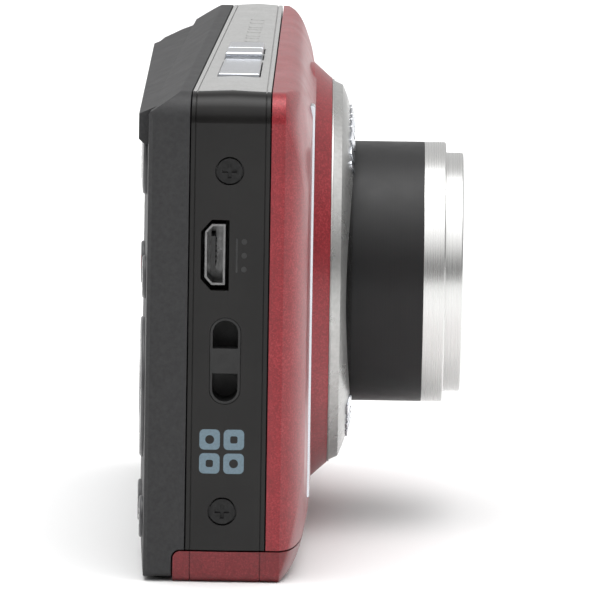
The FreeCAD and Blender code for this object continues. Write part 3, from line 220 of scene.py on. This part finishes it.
def gloss_black():
    """Polished black plastic with the faint haze of handling."""
    made = Finish("gloss_black", (0.0105, 0.010, 0.0098), roughness=0.1, specular_ior_level=0.24)
    made.tint(made.noise(9 * MM), (0.3, (0.0085, 0.008, 0.0078)), (0.7, (0.0125, 0.012, 0.0115)))
    made.rough(made.noise(5 * MM, 5), 0.07, 0.15)
    made.soften(0.12 * MM).relief(made.noise(14 * MM, 1), 0.02 * MM, 0.25)
    return made.material


def silver_paint():
    """Satin silver paint on the deck."""
    made = Finish("silver_paint", (0.35, 0.35, 0.345), metallic=0.35, roughness=0.38)
    made.tint(made.noise(0.3 * MM, 3), (0.3, (0.31, 0.31, 0.305)), (0.7, (0.39, 0.39, 0.385)))
    made.rough(made.noise(4 * MM), 0.32, 0.44)
    made.soften(0.12 * MM).relief(made.noise(0.15 * MM, 2), 0.004 * MM, 0.5)
    return made.material


def chrome():
    """Plated keys with a fine straight grain."""
    made = Finish("chrome", (0.6, 0.62, 0.66), metallic=1.0, roughness=0.16)
    made.tint(made.noise(3 * MM), (0.3, (0.57, 0.59, 0.63)), (0.7, (0.62, 0.64, 0.68)))
    made.rough(made.lines(made.along("Z"), 0.08 * MM), 0.12, 0.24)
    made.soften(0.1 * MM)
    return made.material


def rear_key():
    """Dark satin keys on the rear, set off by a bright rounded edge."""
    made = Finish("rear_key", (0.06, 0.06, 0.062), roughness=0.34, coat_weight=0.3, coat_roughness=0.2)
    made.tint(made.noise(2 * MM), (0.3, (0.05, 0.05, 0.052)), (0.7, (0.075, 0.075, 0.078)))
    made.rough(made.noise(1.5 * MM, 4), 0.28, 0.4)
    made.soften(0.15 * MM)
    return made.material


def turned_metal():
    """Bright aluminium with the lines of the lathe."""
    made = Finish("turned_metal", (0.69, 0.69, 0.68), metallic=1.0, roughness=0.22)
    cuts = made.lines(made.turning(), 0.09 * MM)
    made.tint(cuts, (0.3, (0.62, 0.62, 0.61)), (0.7, (0.76, 0.76, 0.75)))
    made.rough(cuts, 0.2, 0.32)
    made.soften(0.08 * MM).relief(cuts, 0.0016 * MM, 0.6)
    return made.material


def bezel_silver():
    """Satin plated ring round the lens."""
    made = Finish("bezel_silver", (0.45, 0.45, 0.44), metallic=0.85, roughness=0.3)
    made.tint(made.noise(0.6 * MM), (0.3, (0.41, 0.41, 0.4)), (0.7, (0.49, 0.49, 0.48)))
    made.rough(made.noise(5 * MM), 0.24, 0.36)
    made.soften(0.1 * MM)
    return made.material


def barrel_black():
    """Black anodised barrel, satin, with faint turning lines."""
    made = Finish("barrel_black", (0.009, 0.009, 0.0095), roughness=0.42, specular_ior_level=0.35)
    cuts = made.lines(made.turning(), 0.12 * MM)
    made.tint(cuts, (0.3, (0.007, 0.007, 0.0075)), (0.7, (0.011, 0.011, 0.0115)))
    made.rough(made.noise(3 * MM), 0.38, 0.48)
    made.soften(0.1 * MM).relief(cuts, 0.002 * MM, 0.5)
    return made.material


def screen_glass():
    made = Finish("screen_glass", (0.011, 0.011, 0.013), roughness=0.06, coat_weight=0.6, coat_roughness=0.03)
    made.tint(made.noise(20 * MM), (0.3, (0.009, 0.009, 0.011)), (0.7, (0.013, 0.013, 0.016)))
    made.rough(made.noise(6 * MM, 5), 0.04, 0.1)
    return made.material


def steel(name="steel", dark=1.0):
    made = Finish(name, (0.5 * dark, 0.5 * dark, 0.51 * dark), metallic=1.0, roughness=0.32)
    low = [0.42 * dark] * 3
    high = [0.58 * dark] * 3
    made.tint(made.noise(0.5 * MM, 4), (0.3, low), (0.7, high))
    made.rough(made.noise(0.8 * MM), 0.26, 0.42)
    made.soften(0.05 * MM)
    return made.material


def brass():
    made = Finish("contact_metal", (0.75, 0.6, 0.32), metallic=1.0, roughness=0.28)
    made.tint(made.noise(1 * MM, 4), (0.3, (0.66, 0.52, 0.27)), (0.7, (0.82, 0.68, 0.4)))
    made.rough(made.noise(0.7 * MM), 0.22, 0.4)
    return made.material


def board():
    made = Finish("board_green", (0.015, 0.12, 0.05), roughness=0.4)
    made.tint(made.cells(1.6 * MM), (0.2, (0.012, 0.10, 0.042)), (0.6, (0.02, 0.15, 0.065)))
    made.rough(made.noise(2 * MM), 0.32, 0.5)
    return made.material


def matte_black(name="inner_plastic", tone=0.022):
    made = Finish(name, (tone, tone, tone), roughness=0.55)
    made.tint(made.noise(0.8 * MM, 3), (0.3, [tone * 0.8] * 3), (0.7, [tone * 1.25] * 3))
    made.rough(made.noise(2 * MM), 0.48, 0.65)
    made.soften(0.06 * MM).relief(made.noise(0.2 * MM), 0.006 * MM, 0.5)
    return made.material


def cell_sleeve():
    """Printed sleeve of a cell: a dark body with a bright band at the top."""
    made = Finish("cell_sleeve", (0.05, 0.1, 0.22), roughness=0.3, coat_weight=0.4, coat_roughness=0.15)
    band = (0.62, 0.5, 0.22)
    made.tint(
        made.along("Z"), (0.0, (0.03, 0.06, 0.14)), (0.041, (0.05, 0.1, 0.22)), (0.042, band), (0.053, band)
    )
    made.rough(made.noise(1 * MM), 0.24, 0.38)
    return made.material


def clear_lens():
    """Coated optical glass."""
    made = Finish(
        "clear_lens", (0.75, 0.8, 0.95), roughness=0.02, transmission_weight=0.9, ior=1.6, coat_weight=0.5
    )
    made.tint(made.noise(8 * MM), (0.35, (0.62, 0.66, 0.95)), (0.65, (0.78, 0.9, 0.86)))
    return made.material


def flash_plastic():
    """Clear ribbed window over the flash."""
    made = Finish("flash_plastic", (0.9, 0.9, 0.88), roughness=0.1, transmission_weight=0.75, ior=1.49)
    ribs = made.math("SINE", made.math("MULTIPLY", made.along("X"), 2 * math.pi / (0.55 * MM)))
    made.tint(made.noise(1 * MM), (0.3, (0.84, 0.84, 0.82)), (0.7, (0.95, 0.95, 0.93)))
    made.relief(ribs, 0.05 * MM, 0.8)
    return made.material


def lamp_plastic():
    made = Finish("lamp_plastic", (0.85, 0.25, 0.08), roughness=0.12, transmission_weight=0.5, ior=1.49)
    made.tint(made.noise(0.6 * MM), (0.3, (0.7, 0.16, 0.05)), (0.7, (0.9, 0.34, 0.12)))
    return made.material


def ink(name, color):
    """Printed ink, slightly mottled."""
    made = Finish(name, color, roughness=0.5)
    darker = [c * 0.86 for c in color]
    lighter = [min(1, c * 1.12) for c in color]
    made.tint(made.noise(0.25 * MM, 4), (0.3, darker), (0.7, lighter))
    made.rough(made.noise(0.5 * MM), 0.42, 0.6)
    return made.material


FINISHES = {
    red_paint: ["front_shell"],
    rear_plastic: ["rear_cover"],
    gloss_black: ["grip_panel", "far_panel", "base_panel", "bezel_insert"],
    silver_paint: ["top_deck"],
    chrome: ["grip_strip", "shutter_button", "power_button", "mode_button"],
    rear_key: [
        "direction_pad",
        "set_button",
        "video_button",
        "flash_button",
        "menu_button",
        "play_button",
        "zoom_rocker",
    ],
    turned_metal: ["outer_barrel_trim", "inner_barrel"],
    bezel_silver: ["lens_bezel"],
    barrel_black: ["outer_barrel", "name_ring", "front_cell", "shutter_unit", "rear_cell", "lens_mount"],
    screen_glass: ["screen_window"],
    steel: [
        "usb_receptacle",
        "tripod_socket",
        "door_hinge_slider",
        "focus_rails",
        "zoom_motor",
        "flash_reflector",
    ],
    brass: ["cell_contacts", "door_contact_plate", "motor_pinion"],
    board: ["main_board", "key_boards", "image_sensor"],
    matte_black: [
        "battery_box",
        "far_bracket",
        "cam_ring",
        "idler_gear",
        "strap_lug",
        "usb_tongue",
        "rear_feet",
        "upper_blade",
        "lower_blade",
        "screen_module",
        "flash_capacitor",
    ],
    cell_sleeve: ["battery_1", "battery_2"],
    clear_lens: ["front_elements", "rear_element"],
    flash_plastic: ["flash_window"],
    lamp_plastic: ["focus_lamp"],
}


def dress(node, material):
    mesh = NODES[node].data
    mesh.materials.clear()
    mesh.materials.append(material)


def dress_all():
    for make, nodes in FINISHES.items():
        material = make()
        for node in nodes:
            dress(node, material)
    dress("case_screws", steel("screw_black", 0.06))
    # The battery door gets a darker copy of the red paint: painted shade, standing in for the shade that
    # falls on the lower body.
    dress("battery_door", red_paint("door_paint_painted_shade", 0.45))
    dress("usb_receptacle", steel("socket_metal", 0.42))
    dress("strap_lug", matte_black("lug_plastic", 0.011))


# ---------------------------------------------------------------- detail pieces
def frame_at(origin, right, up):
    """A matrix whose X runs along right, Y along up and Z out of the surface."""
    right = Vector(right).normalized()
    out = right.cross(Vector(up)).normalized()
    up = out.cross(right).normalized()
    turn = Matrix((right, up, out)).transposed().to_4x4()
    return Matrix.Translation(Vector(origin)) @ turn


def loop(points, steps=0, radius=0.0):
    """Corners of a flat outline, each rounded with the same radius."""
    if not radius:
        return [Vector((*p, 0)) for p in points]
    made = []
    count = len(points)
    for i, corner in enumerate(points):
        here = Vector((*corner, 0))
        before = (Vector((*points[i - 1], 0)) - here).normalized()
        after = (Vector((*points[(i + 1) % count], 0)) - here).normalized()
        half = before.angle(after) / 2
        run = radius / math.tan(half)
        centre = here + (before + after).normalized() * (radius / math.sin(half))
        start = (here + before * run - centre).normalized()
        end = (here + after * run - centre).normalized()
        for k in range(steps + 1):
            made.append(centre + start.slerp(end, k / steps) * radius)
    return made


def rectangle(width, height, radius, steps=4):
    w = width / 2
    h = height / 2
    return loop([(-w, -h), (w, -h), (w, h), (-w, h)], steps, radius)


def disc(radius, steps=32):
    turns = [2 * math.pi * k / steps for k in range(steps)]
    return [Vector((radius * math.cos(a), radius * math.sin(a), 0)) for a in turns]


def plates(name, parts, material, body, thick, rim=0.0):
    """Thin plates as one piece. Each part is (matrix, outline, hole outlines)."""
    mesh = bmesh.new()
    for matrix, outer, holes in parts:
        curve = bpy.data.curves.new(name + "_outline", "CURVE")
        curve.dimensions = "2D"
        curve.fill_mode = "BOTH"
        curve.extrude = thick / 2 - rim
        curve.bevel_depth = rim
        curve.bevel_resolution = 1
        curve.offset = -rim
        for outline in (outer, *holes):
            spline = curve.splines.new("POLY")
            spline.points.add(len(outline) - 1)
            for point, place in zip(spline.points, outline):
                point.co = (*place, 1)
            spline.use_cyclic_u = True
        holder = bpy.data.objects.new(name + "_outline", curve)
        solid = bpy.data.meshes.new_from_object(holder)
        solid.transform(matrix @ Matrix.Translation((0, 0, thick / 2)))
        mesh.from_mesh(solid)
        bpy.data.objects.remove(holder)
        bpy.data.curves.remove(curve)
        bpy.data.meshes.remove(solid)
    bmesh.ops.remove_doubles(mesh, verts=mesh.verts, dist=1e-7)
    return finish_piece(name, mesh, material, body)


def finish_piece(name, mesh, material, body):
    data = bpy.data.meshes.new(name)
    mesh.to_mesh(data)
    mesh.free()
    data.materials.append(material)
    made = bpy.data.objects.new(name, data)
    bpy.context.scene.collection.objects.link(made)
    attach(made, body)
    return made


def ground_of(node, origin, direction):
    """Where a straight line meets a CAD node, and the surface normal there."""
    hit, place, normal, _ = NODES[node].ray_cast(Vector(origin), Vector(direction))
    if not hit:
        raise ValueError(f"no surface of {node} at {origin}")
    return place, normal


def lying_on(node, origin, direction, right, lift=0.0):
    """A frame on a CAD surface, its Z along the surface normal and X near right."""
    place, normal = ground_of(node, origin, direction)
    right = Vector(right)
    right = (right - normal * right.dot(normal)).normalized()
    return frame_at(place + normal * lift, right, normal.cross(right))


def facing_front(node, front, angle, radius, lift):
    """A frame on a front surface round the lens axis, its X along the circle."""
    radial = Vector((math.cos(angle), 0, math.sin(angle)))
    origin = Vector((0, front, LENS_UP)) + radial * radius
    across = Vector((0, -1, 0)).cross(radial) * -1
    return lying_on(node, origin, (0, 1, 0), across, lift)


def side_mark():
    """Generic printed mark on the grip panel: four tiles in a square."""
    tile = 2.5 * MM
    pitch = 2.95 * MM
    centre = Vector((0, 2.2 * MM, 16.2 * MM))
    parts = []
    for row in (-0.5, 0.5):
        for column in (-0.5, 0.5):
            y = centre.y + column * pitch
            z = centre.z + row * pitch
            spot = lying_on("grip_panel", (GRIP_X - 0.01, y, z), (1, 0, 0), (0, -1, 0), -0.02 * MM)
            square = rectangle(tile * 0.36, tile * 0.36, tile * 0.1)
            hole = square if row * column < 0 else disc(tile * 0.22)
            parts.append((spot, rectangle(tile, tile, 0.55 * MM), [hole]))
    return plates("side_mark", parts, ink("mark_ink", (0.13, 0.19, 0.23)), BODY, 0.045 * MM)


def socket_icon():
    """Generic raised dots and bar beside the data socket."""
    made = matte_black("icon_relief", 0.02)
    low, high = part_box("usb_receptacle")
    y = low.y - 2.3 * MM
    z = (low.z + high.z) / 2
    parts = []
    for rise, size in ((-1.7, 0.35), (0.0, 0.35), (1.7, 0.35)):
        spot = lying_on("grip_panel", (GRIP_X - 0.01, y, z + rise * MM), (1, 0, 0), (0, -1, 0), -0.02 * MM)
        parts.append((spot, disc(size * MM, 20), []))
    spot = lying_on("grip_panel", (GRIP_X - 0.01, y + 0.9 * MM, z), (1, 0, 0), (0, -1, 0), -0.02 * MM)
    parts.append((spot, rectangle(0.25 * MM, 4.2 * MM, 0.1 * MM), []))
    return plates("socket_icon", parts, made, BODY, 0.06 * MM, 0.01 * MM)


def deck_relief():
    """Generic raised bars along the deck."""
    deck_low, deck_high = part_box("top_deck")
    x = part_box("mode_button")[1].x + 6 * MM
    parts = []
    widths = (2.4, 1.2, 3.0, 2.0, 1.2, 3.4, 2.4, 1.6)
    for width in widths:
        x += width * MM / 2
        share = (x - deck_low.x) / (deck_high.x - deck_low.x)
        y = 1.4 * MM * (1 - share) - 1.2 * MM * share - 0.4 * MM
        spot = lying_on("top_deck", (x, y, deck_high.z + 0.01), (0, 0, -1), (1, 0, 0), -0.05 * MM)
        outline = rectangle(width * MM, 1.7 * MM, 0.3 * MM)
        parts.append((spot, outline, []))
        x += (width / 2 + 0.9) * MM
    return plates("deck_relief", parts, NODES["top_deck"].data.materials[0], BODY, 0.1 * MM, 0.02 * MM)


RING_BARS = {
    "radius": 19.9 * MM,
    "chord_at": 19.8 * MM,    # radius at which the bars' widths and gaps turn into angles
    "tall": 2.0 * MM,
    "gap": 0.75 * MM,
    "starts": (74, 226),      # degrees at which the two arcs start
}


def bezel_relief():
    """Generic raised bars in two arcs on the lens ring."""
    widths = (2.2, 0.9, 1.7, 2.6, 0.9, 1.3, 2.2, 1.7, 0.9)
    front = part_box("lens_bezel")[0].y - 0.01
    parts = []
    for start in RING_BARS["starts"]:
        angle = math.radians(start)
        for width in widths:
            half = width / 2 * MM
            angle += math.atan2(half, RING_BARS["chord_at"])
            spot = facing_front("lens_bezel", front, angle, RING_BARS["radius"], -0.03 * MM)
            parts.append((spot, rectangle(2 * half, RING_BARS["tall"], 0.3 * MM), []))
            angle += math.atan2(half + RING_BARS["gap"], RING_BARS["chord_at"])
    return plates("bezel_relief", parts, NODES["grip_strip"].data.materials[0], BODY, 0.26 * MM, 0.05 * MM)


def name_ring_relief():
    """Fine printed ticks round the front of the lens."""
    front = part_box("name_ring")[0].y - 0.01
    parts = []
    for k in range(60):
        spot = facing_front("name_ring", front, 2 * math.pi * k / 60, 11.6 * MM, -0.01 * MM)
        parts.append((spot, rectangle(0.14 * MM, (1.3 if k % 5 == 0 else 0.7) * MM, 0.05 * MM, 2), []))
    return plates("name_ring_ticks", parts, ink("tick_ink", (0.6, 0.6, 0.58)), "inner_barrel", 0.03 * MM)


def on_key(node, right=0.0, up=0.0, lift=-0.02):
    """A frame on a rear key, offset from its middle in millimetres."""
    centre = middle(node)
    origin = (centre.x - right * MM, centre.y + 0.02, centre.z + up * MM)
    return lying_on(node, origin, (0, -1, 0), (-1, 0, 0), lift * MM)


def key_icons():
    """Generic symbols on the rear keys."""
    white = ink("icon_white", (0.72, 0.72, 0.7))
    red = ink("icon_red", (0.62, 0.03, 0.03))
    thick = 0.05 * MM
    triangle = loop([(-0.65 * MM, -0.8 * MM), (0.85 * MM, 0), (-0.65 * MM, 0.8 * MM)], 2, 0.1 * MM)
    plates("play_icon", [(on_key("play_button"), triangle, [])], white, "play_button", thick)
    line = rectangle(1.9 * MM, 0.3 * MM, 0.1 * MM, 2)
    bars = [(on_key("menu_button", 0, rise), line, []) for rise in (-0.75, 0, 0.75)]
    plates("menu_icon", bars, white, "menu_button", thick)
    bolt = [(0.25, 1.2), (-0.65, -0.15), (-0.05, -0.15), (-0.25, -1.2), (0.65, 0.2), (0.05, 0.2)]
    outline = loop([(u * MM, v * MM) for u, v in bolt])
    plates("flash_icon", [(on_key("flash_button"), outline, [])], white, "flash_button", thick)
    plates("video_icon", [(on_key("video_button"), disc(0.85 * MM), [])], red, "video_button", thick)
    arrow = loop([(-0.6 * MM, -0.35 * MM), (0.6 * MM, -0.35 * MM), (0, 0.45 * MM)], 2, 0.06 * MM)
    marks = []
    for k, (right, up) in enumerate(((0, 6.2), (-6.2, 0), (0, -6.2), (6.2, 0))):
        spot = on_key("direction_pad", right, up)
        marks.append((spot @ Matrix.Rotation(k * math.pi / 2, 4, "Z"), arrow, []))
    plates("pad_arrows", marks, white, "direction_pad", thick)
    bar = rectangle(1.7 * MM, 0.35 * MM, 0.12 * MM, 2)
    upright = rectangle(0.35 * MM, 1.7 * MM, 0.12 * MM, 2)
    rocker = [
        (on_key("zoom_rocker", -5.4, 0), bar, []),
        (on_key("zoom_rocker", 5.4, 0), bar, []),
        (on_key("zoom_rocker", 5.4, 0, -0.015), upright, []),
    ]
    plates("rocker_icons", rocker, white, "zoom_rocker", thick)


def screen_area():
    """The dark active area behind the screen window's glass."""
    made = Finish("screen_area", (0.006, 0.008, 0.014), roughness=0.05, coat_weight=0.5, coat_roughness=0.02)
    made.tint(made.noise(25 * MM), (0.3, (0.004, 0.006, 0.012)), (0.7, (0.009, 0.012, 0.02)))
    low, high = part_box("screen_window")
    origin = ((low.x + high.x) / 2, high.y + 0.02, (low.z + high.z) / 2)
    spot = lying_on("screen_window", origin, (0, -1, 0), (-1, 0, 0), -0.02 * MM)
    outline = rectangle(high.x - low.x - 5 * MM, high.z - low.z - 4 * MM, 0.3 * MM)
    return plates("screen_area", [(spot, outline, [])], made.material, BODY, 0.03 * MM)


def coil(name, origin, material, body, wire, base_r, top_r, height, turns):
    """A conical wire spring standing on its base."""
    curve = bpy.data.curves.new(name, "CURVE")
    curve.dimensions = "3D"
    curve.bevel_depth = wire
    curve.bevel_resolution = 3
    steps = int(turns * 16)
    spline = curve.splines.new("NURBS")
    spline.points.add(steps)
    for k in range(steps + 1):
        share = k / steps
        angle = 2 * math.pi * turns * share
        radius = base_r + (top_r - base_r) * share
        rise = wire + (height - 2 * wire) * share
        offset = Vector((radius * math.cos(angle), radius * math.sin(angle), rise))
        spline.points[k].co = (*(Vector(origin) + offset), 1)
    spline.order_u = 4
    spline.use_endpoint_u = True
    curve.materials.append(material)
    made = bpy.data.objects.new(name, curve)
    bpy.context.scene.collection.objects.link(made)
    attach(made, body)
    return made


def door_contacts():
    """Contact plate of the battery door, with a conical spring for each cell."""
    low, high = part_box("door_contact_plate")
    metal = NODES["door_contact_plate"].data.materials[0]
    width = high.x - low.x
    depth = high.y - low.y
    thick = 0.3 * MM
    spot = Matrix.Translation(((low.x + high.x) / 2, (low.y + high.y) / 2, low.z))
    slot = rectangle(1.2 * MM, depth * 0.55, 0.5 * MM)
    parts = [(spot, rectangle(width, depth, 1.0 * MM), [slot])]
    plate = plates("contact_plate", parts, metal, "battery_door", thick, 0.04 * MM)
    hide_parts("door_contact_plate")
    height = high.z - low.z - thick
    for side in (1, 2):
        cell = middle(f"battery_{side}")
        x = max(cell.x, low.x + 3.5 * MM)
        x = min(x, high.x - 3.5 * MM)
        origin = (x, cell.y, low.z + thick)
        name = f"cell_spring_{side}"
        made = coil(name, origin, metal, "battery_door", 0.17 * MM, 2.3 * MM, 1.0 * MM, height, 3)
        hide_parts("door_contact_plate")


# ---------------------------------------------------------------- studio and view
VIEW = {"tilt": math.radians(8.4), "roll": math.radians(0.9), "distance": 1.5, "lens": 740.2}


def camera():
    """A long lens at the grip end, a little above the camera's middle."""
    target = Vector((GRIP_X, -0.00706, 0.03503))
    forward = Vector((math.cos(VIEW["tilt"]), 0, -math.sin(VIEW["tilt"])))
    right = forward.cross(Vector((0, 0, 1))).normalized()
    up = right.cross(forward)
    data = bpy.data.cameras.new("view")
    data.lens = VIEW["lens"]
    data.sensor_width = 36
    data.clip_start = 0.05
    data.clip_end = 30
    made = bpy.data.objects.new("view", data)
    turn = Matrix((right, up, -forward)).transposed().to_4x4() @ Matrix.Rotation(VIEW["roll"], 4, "Z")
    made.matrix_world = Matrix.Translation(target - forward * VIEW["distance"]) @ turn
    bpy.context.scene.collection.objects.link(made)
    bpy.context.scene.camera = made


def softbox(name, place, target, width, height, power, color=(1, 1, 1)):
    data = bpy.data.lights.new(name, "AREA")
    data.shape = "RECTANGLE"
    data.size = width
    data.size_y = height
    data.energy = power
    data.color = color
    made = bpy.data.objects.new(name, data)
    made.location = place
    made.rotation_euler = (Vector(target) - Vector(place)).to_track_quat("-Z", "Y").to_euler()
    bpy.context.scene.collection.objects.link(made)
    return made


def flat(name, size_x, size_y, matrix, material):
    mesh = bmesh.new()
    bmesh.ops.create_grid(mesh, x_segments=1, y_segments=1, size=0.5)
    bmesh.ops.scale(mesh, vec=(size_x, size_y, 1), verts=mesh.verts)
    data = bpy.data.meshes.new(name)
    mesh.to_mesh(data)
    mesh.free()
    data.materials.append(material)
    made = bpy.data.objects.new(name, data)
    made.matrix_world = matrix
    bpy.context.scene.collection.objects.link(made)
    return made


def studio():
    pale = Finish("floor", (0.8, 0.8, 0.8), roughness=0.6)
    pale.tint(pale.noise(0.3), (0.3, (0.79, 0.79, 0.79)), (0.7, (0.81, 0.81, 0.81)))
    flat("floor", 8, 8, Matrix.Translation((0, 0, -0.00002)), pale.material)
    lights = [
        softbox("top_light", (0.05, 0.05, 1.1), (0, 0, 0), 1.3, 1.3, 6.5),
        softbox("side_light", (-0.75, -0.1, 0.85), (0, 0, 0.03), 0.7, 0.5, 0.6),
        softbox("lens_light", (0.05, -1.1, 0.35), (0, 0, 0.03), 0.9, 0.7, 0.05),
    ]
    for light in lights:
        light.visible_glossy = False
    surroundings()
    bpy.context.scene.view_settings.view_transform = "Standard"


def surroundings():
    """A pale room that is brightest overhead and dimmer behind the grip end."""
    world = bpy.data.worlds.new("studio")
    world.use_nodes = True
    nodes = world.node_tree.nodes
    links = world.node_tree.links
    where = nodes.new("ShaderNodeTexCoord")
    split = nodes.new("ShaderNodeSeparateXYZ")
    links.new(where.outputs["Generated"], split.inputs[0])
    height = nodes.new("ShaderNodeValToRGB")
    stops = ((0.0, 0.5), (0.12, 0.28), (0.3, 0.42), (0.5, 1.3), (0.85, 2.4), (1.0, 6.0))
    elements = height.color_ramp.elements
    while len(elements) < len(stops):
        elements.new(0.5)
    for element, (position, value) in zip(elements, stops):
        element.position = position
        element.color = (value, value, value, 1)
    links.new(split.outputs["Z"], height.inputs["Fac"])
    beyond = nodes.new("ShaderNodeMapRange")
    beyond.interpolation_type = "SMOOTHSTEP"
    beyond.inputs["From Min"].default_value = -0.1
    beyond.inputs["From Max"].default_value = 0.6
    links.new(split.outputs["X"], beyond.inputs["Value"])
    mix = nodes.new("ShaderNodeMix")
    mix.data_type = "RGBA"
    mix.inputs["B"].default_value = (0.9, 0.9, 0.9, 1)
    links.new(beyond.outputs["Result"], mix.inputs["Factor"])
    links.new(height.outputs["Color"], mix.inputs["A"])
    links.new(mix.outputs["Result"], nodes["Background"].inputs["Color"])
    nodes["Background"].inputs["Strength"].default_value = 0.75
    bpy.context.scene.world = world


dress_all()
side_mark()
socket_icon()
deck_relief()
bezel_relief()
name_ring_relief()
key_icons()
screen_area()
door_contacts()
studio()
camera()
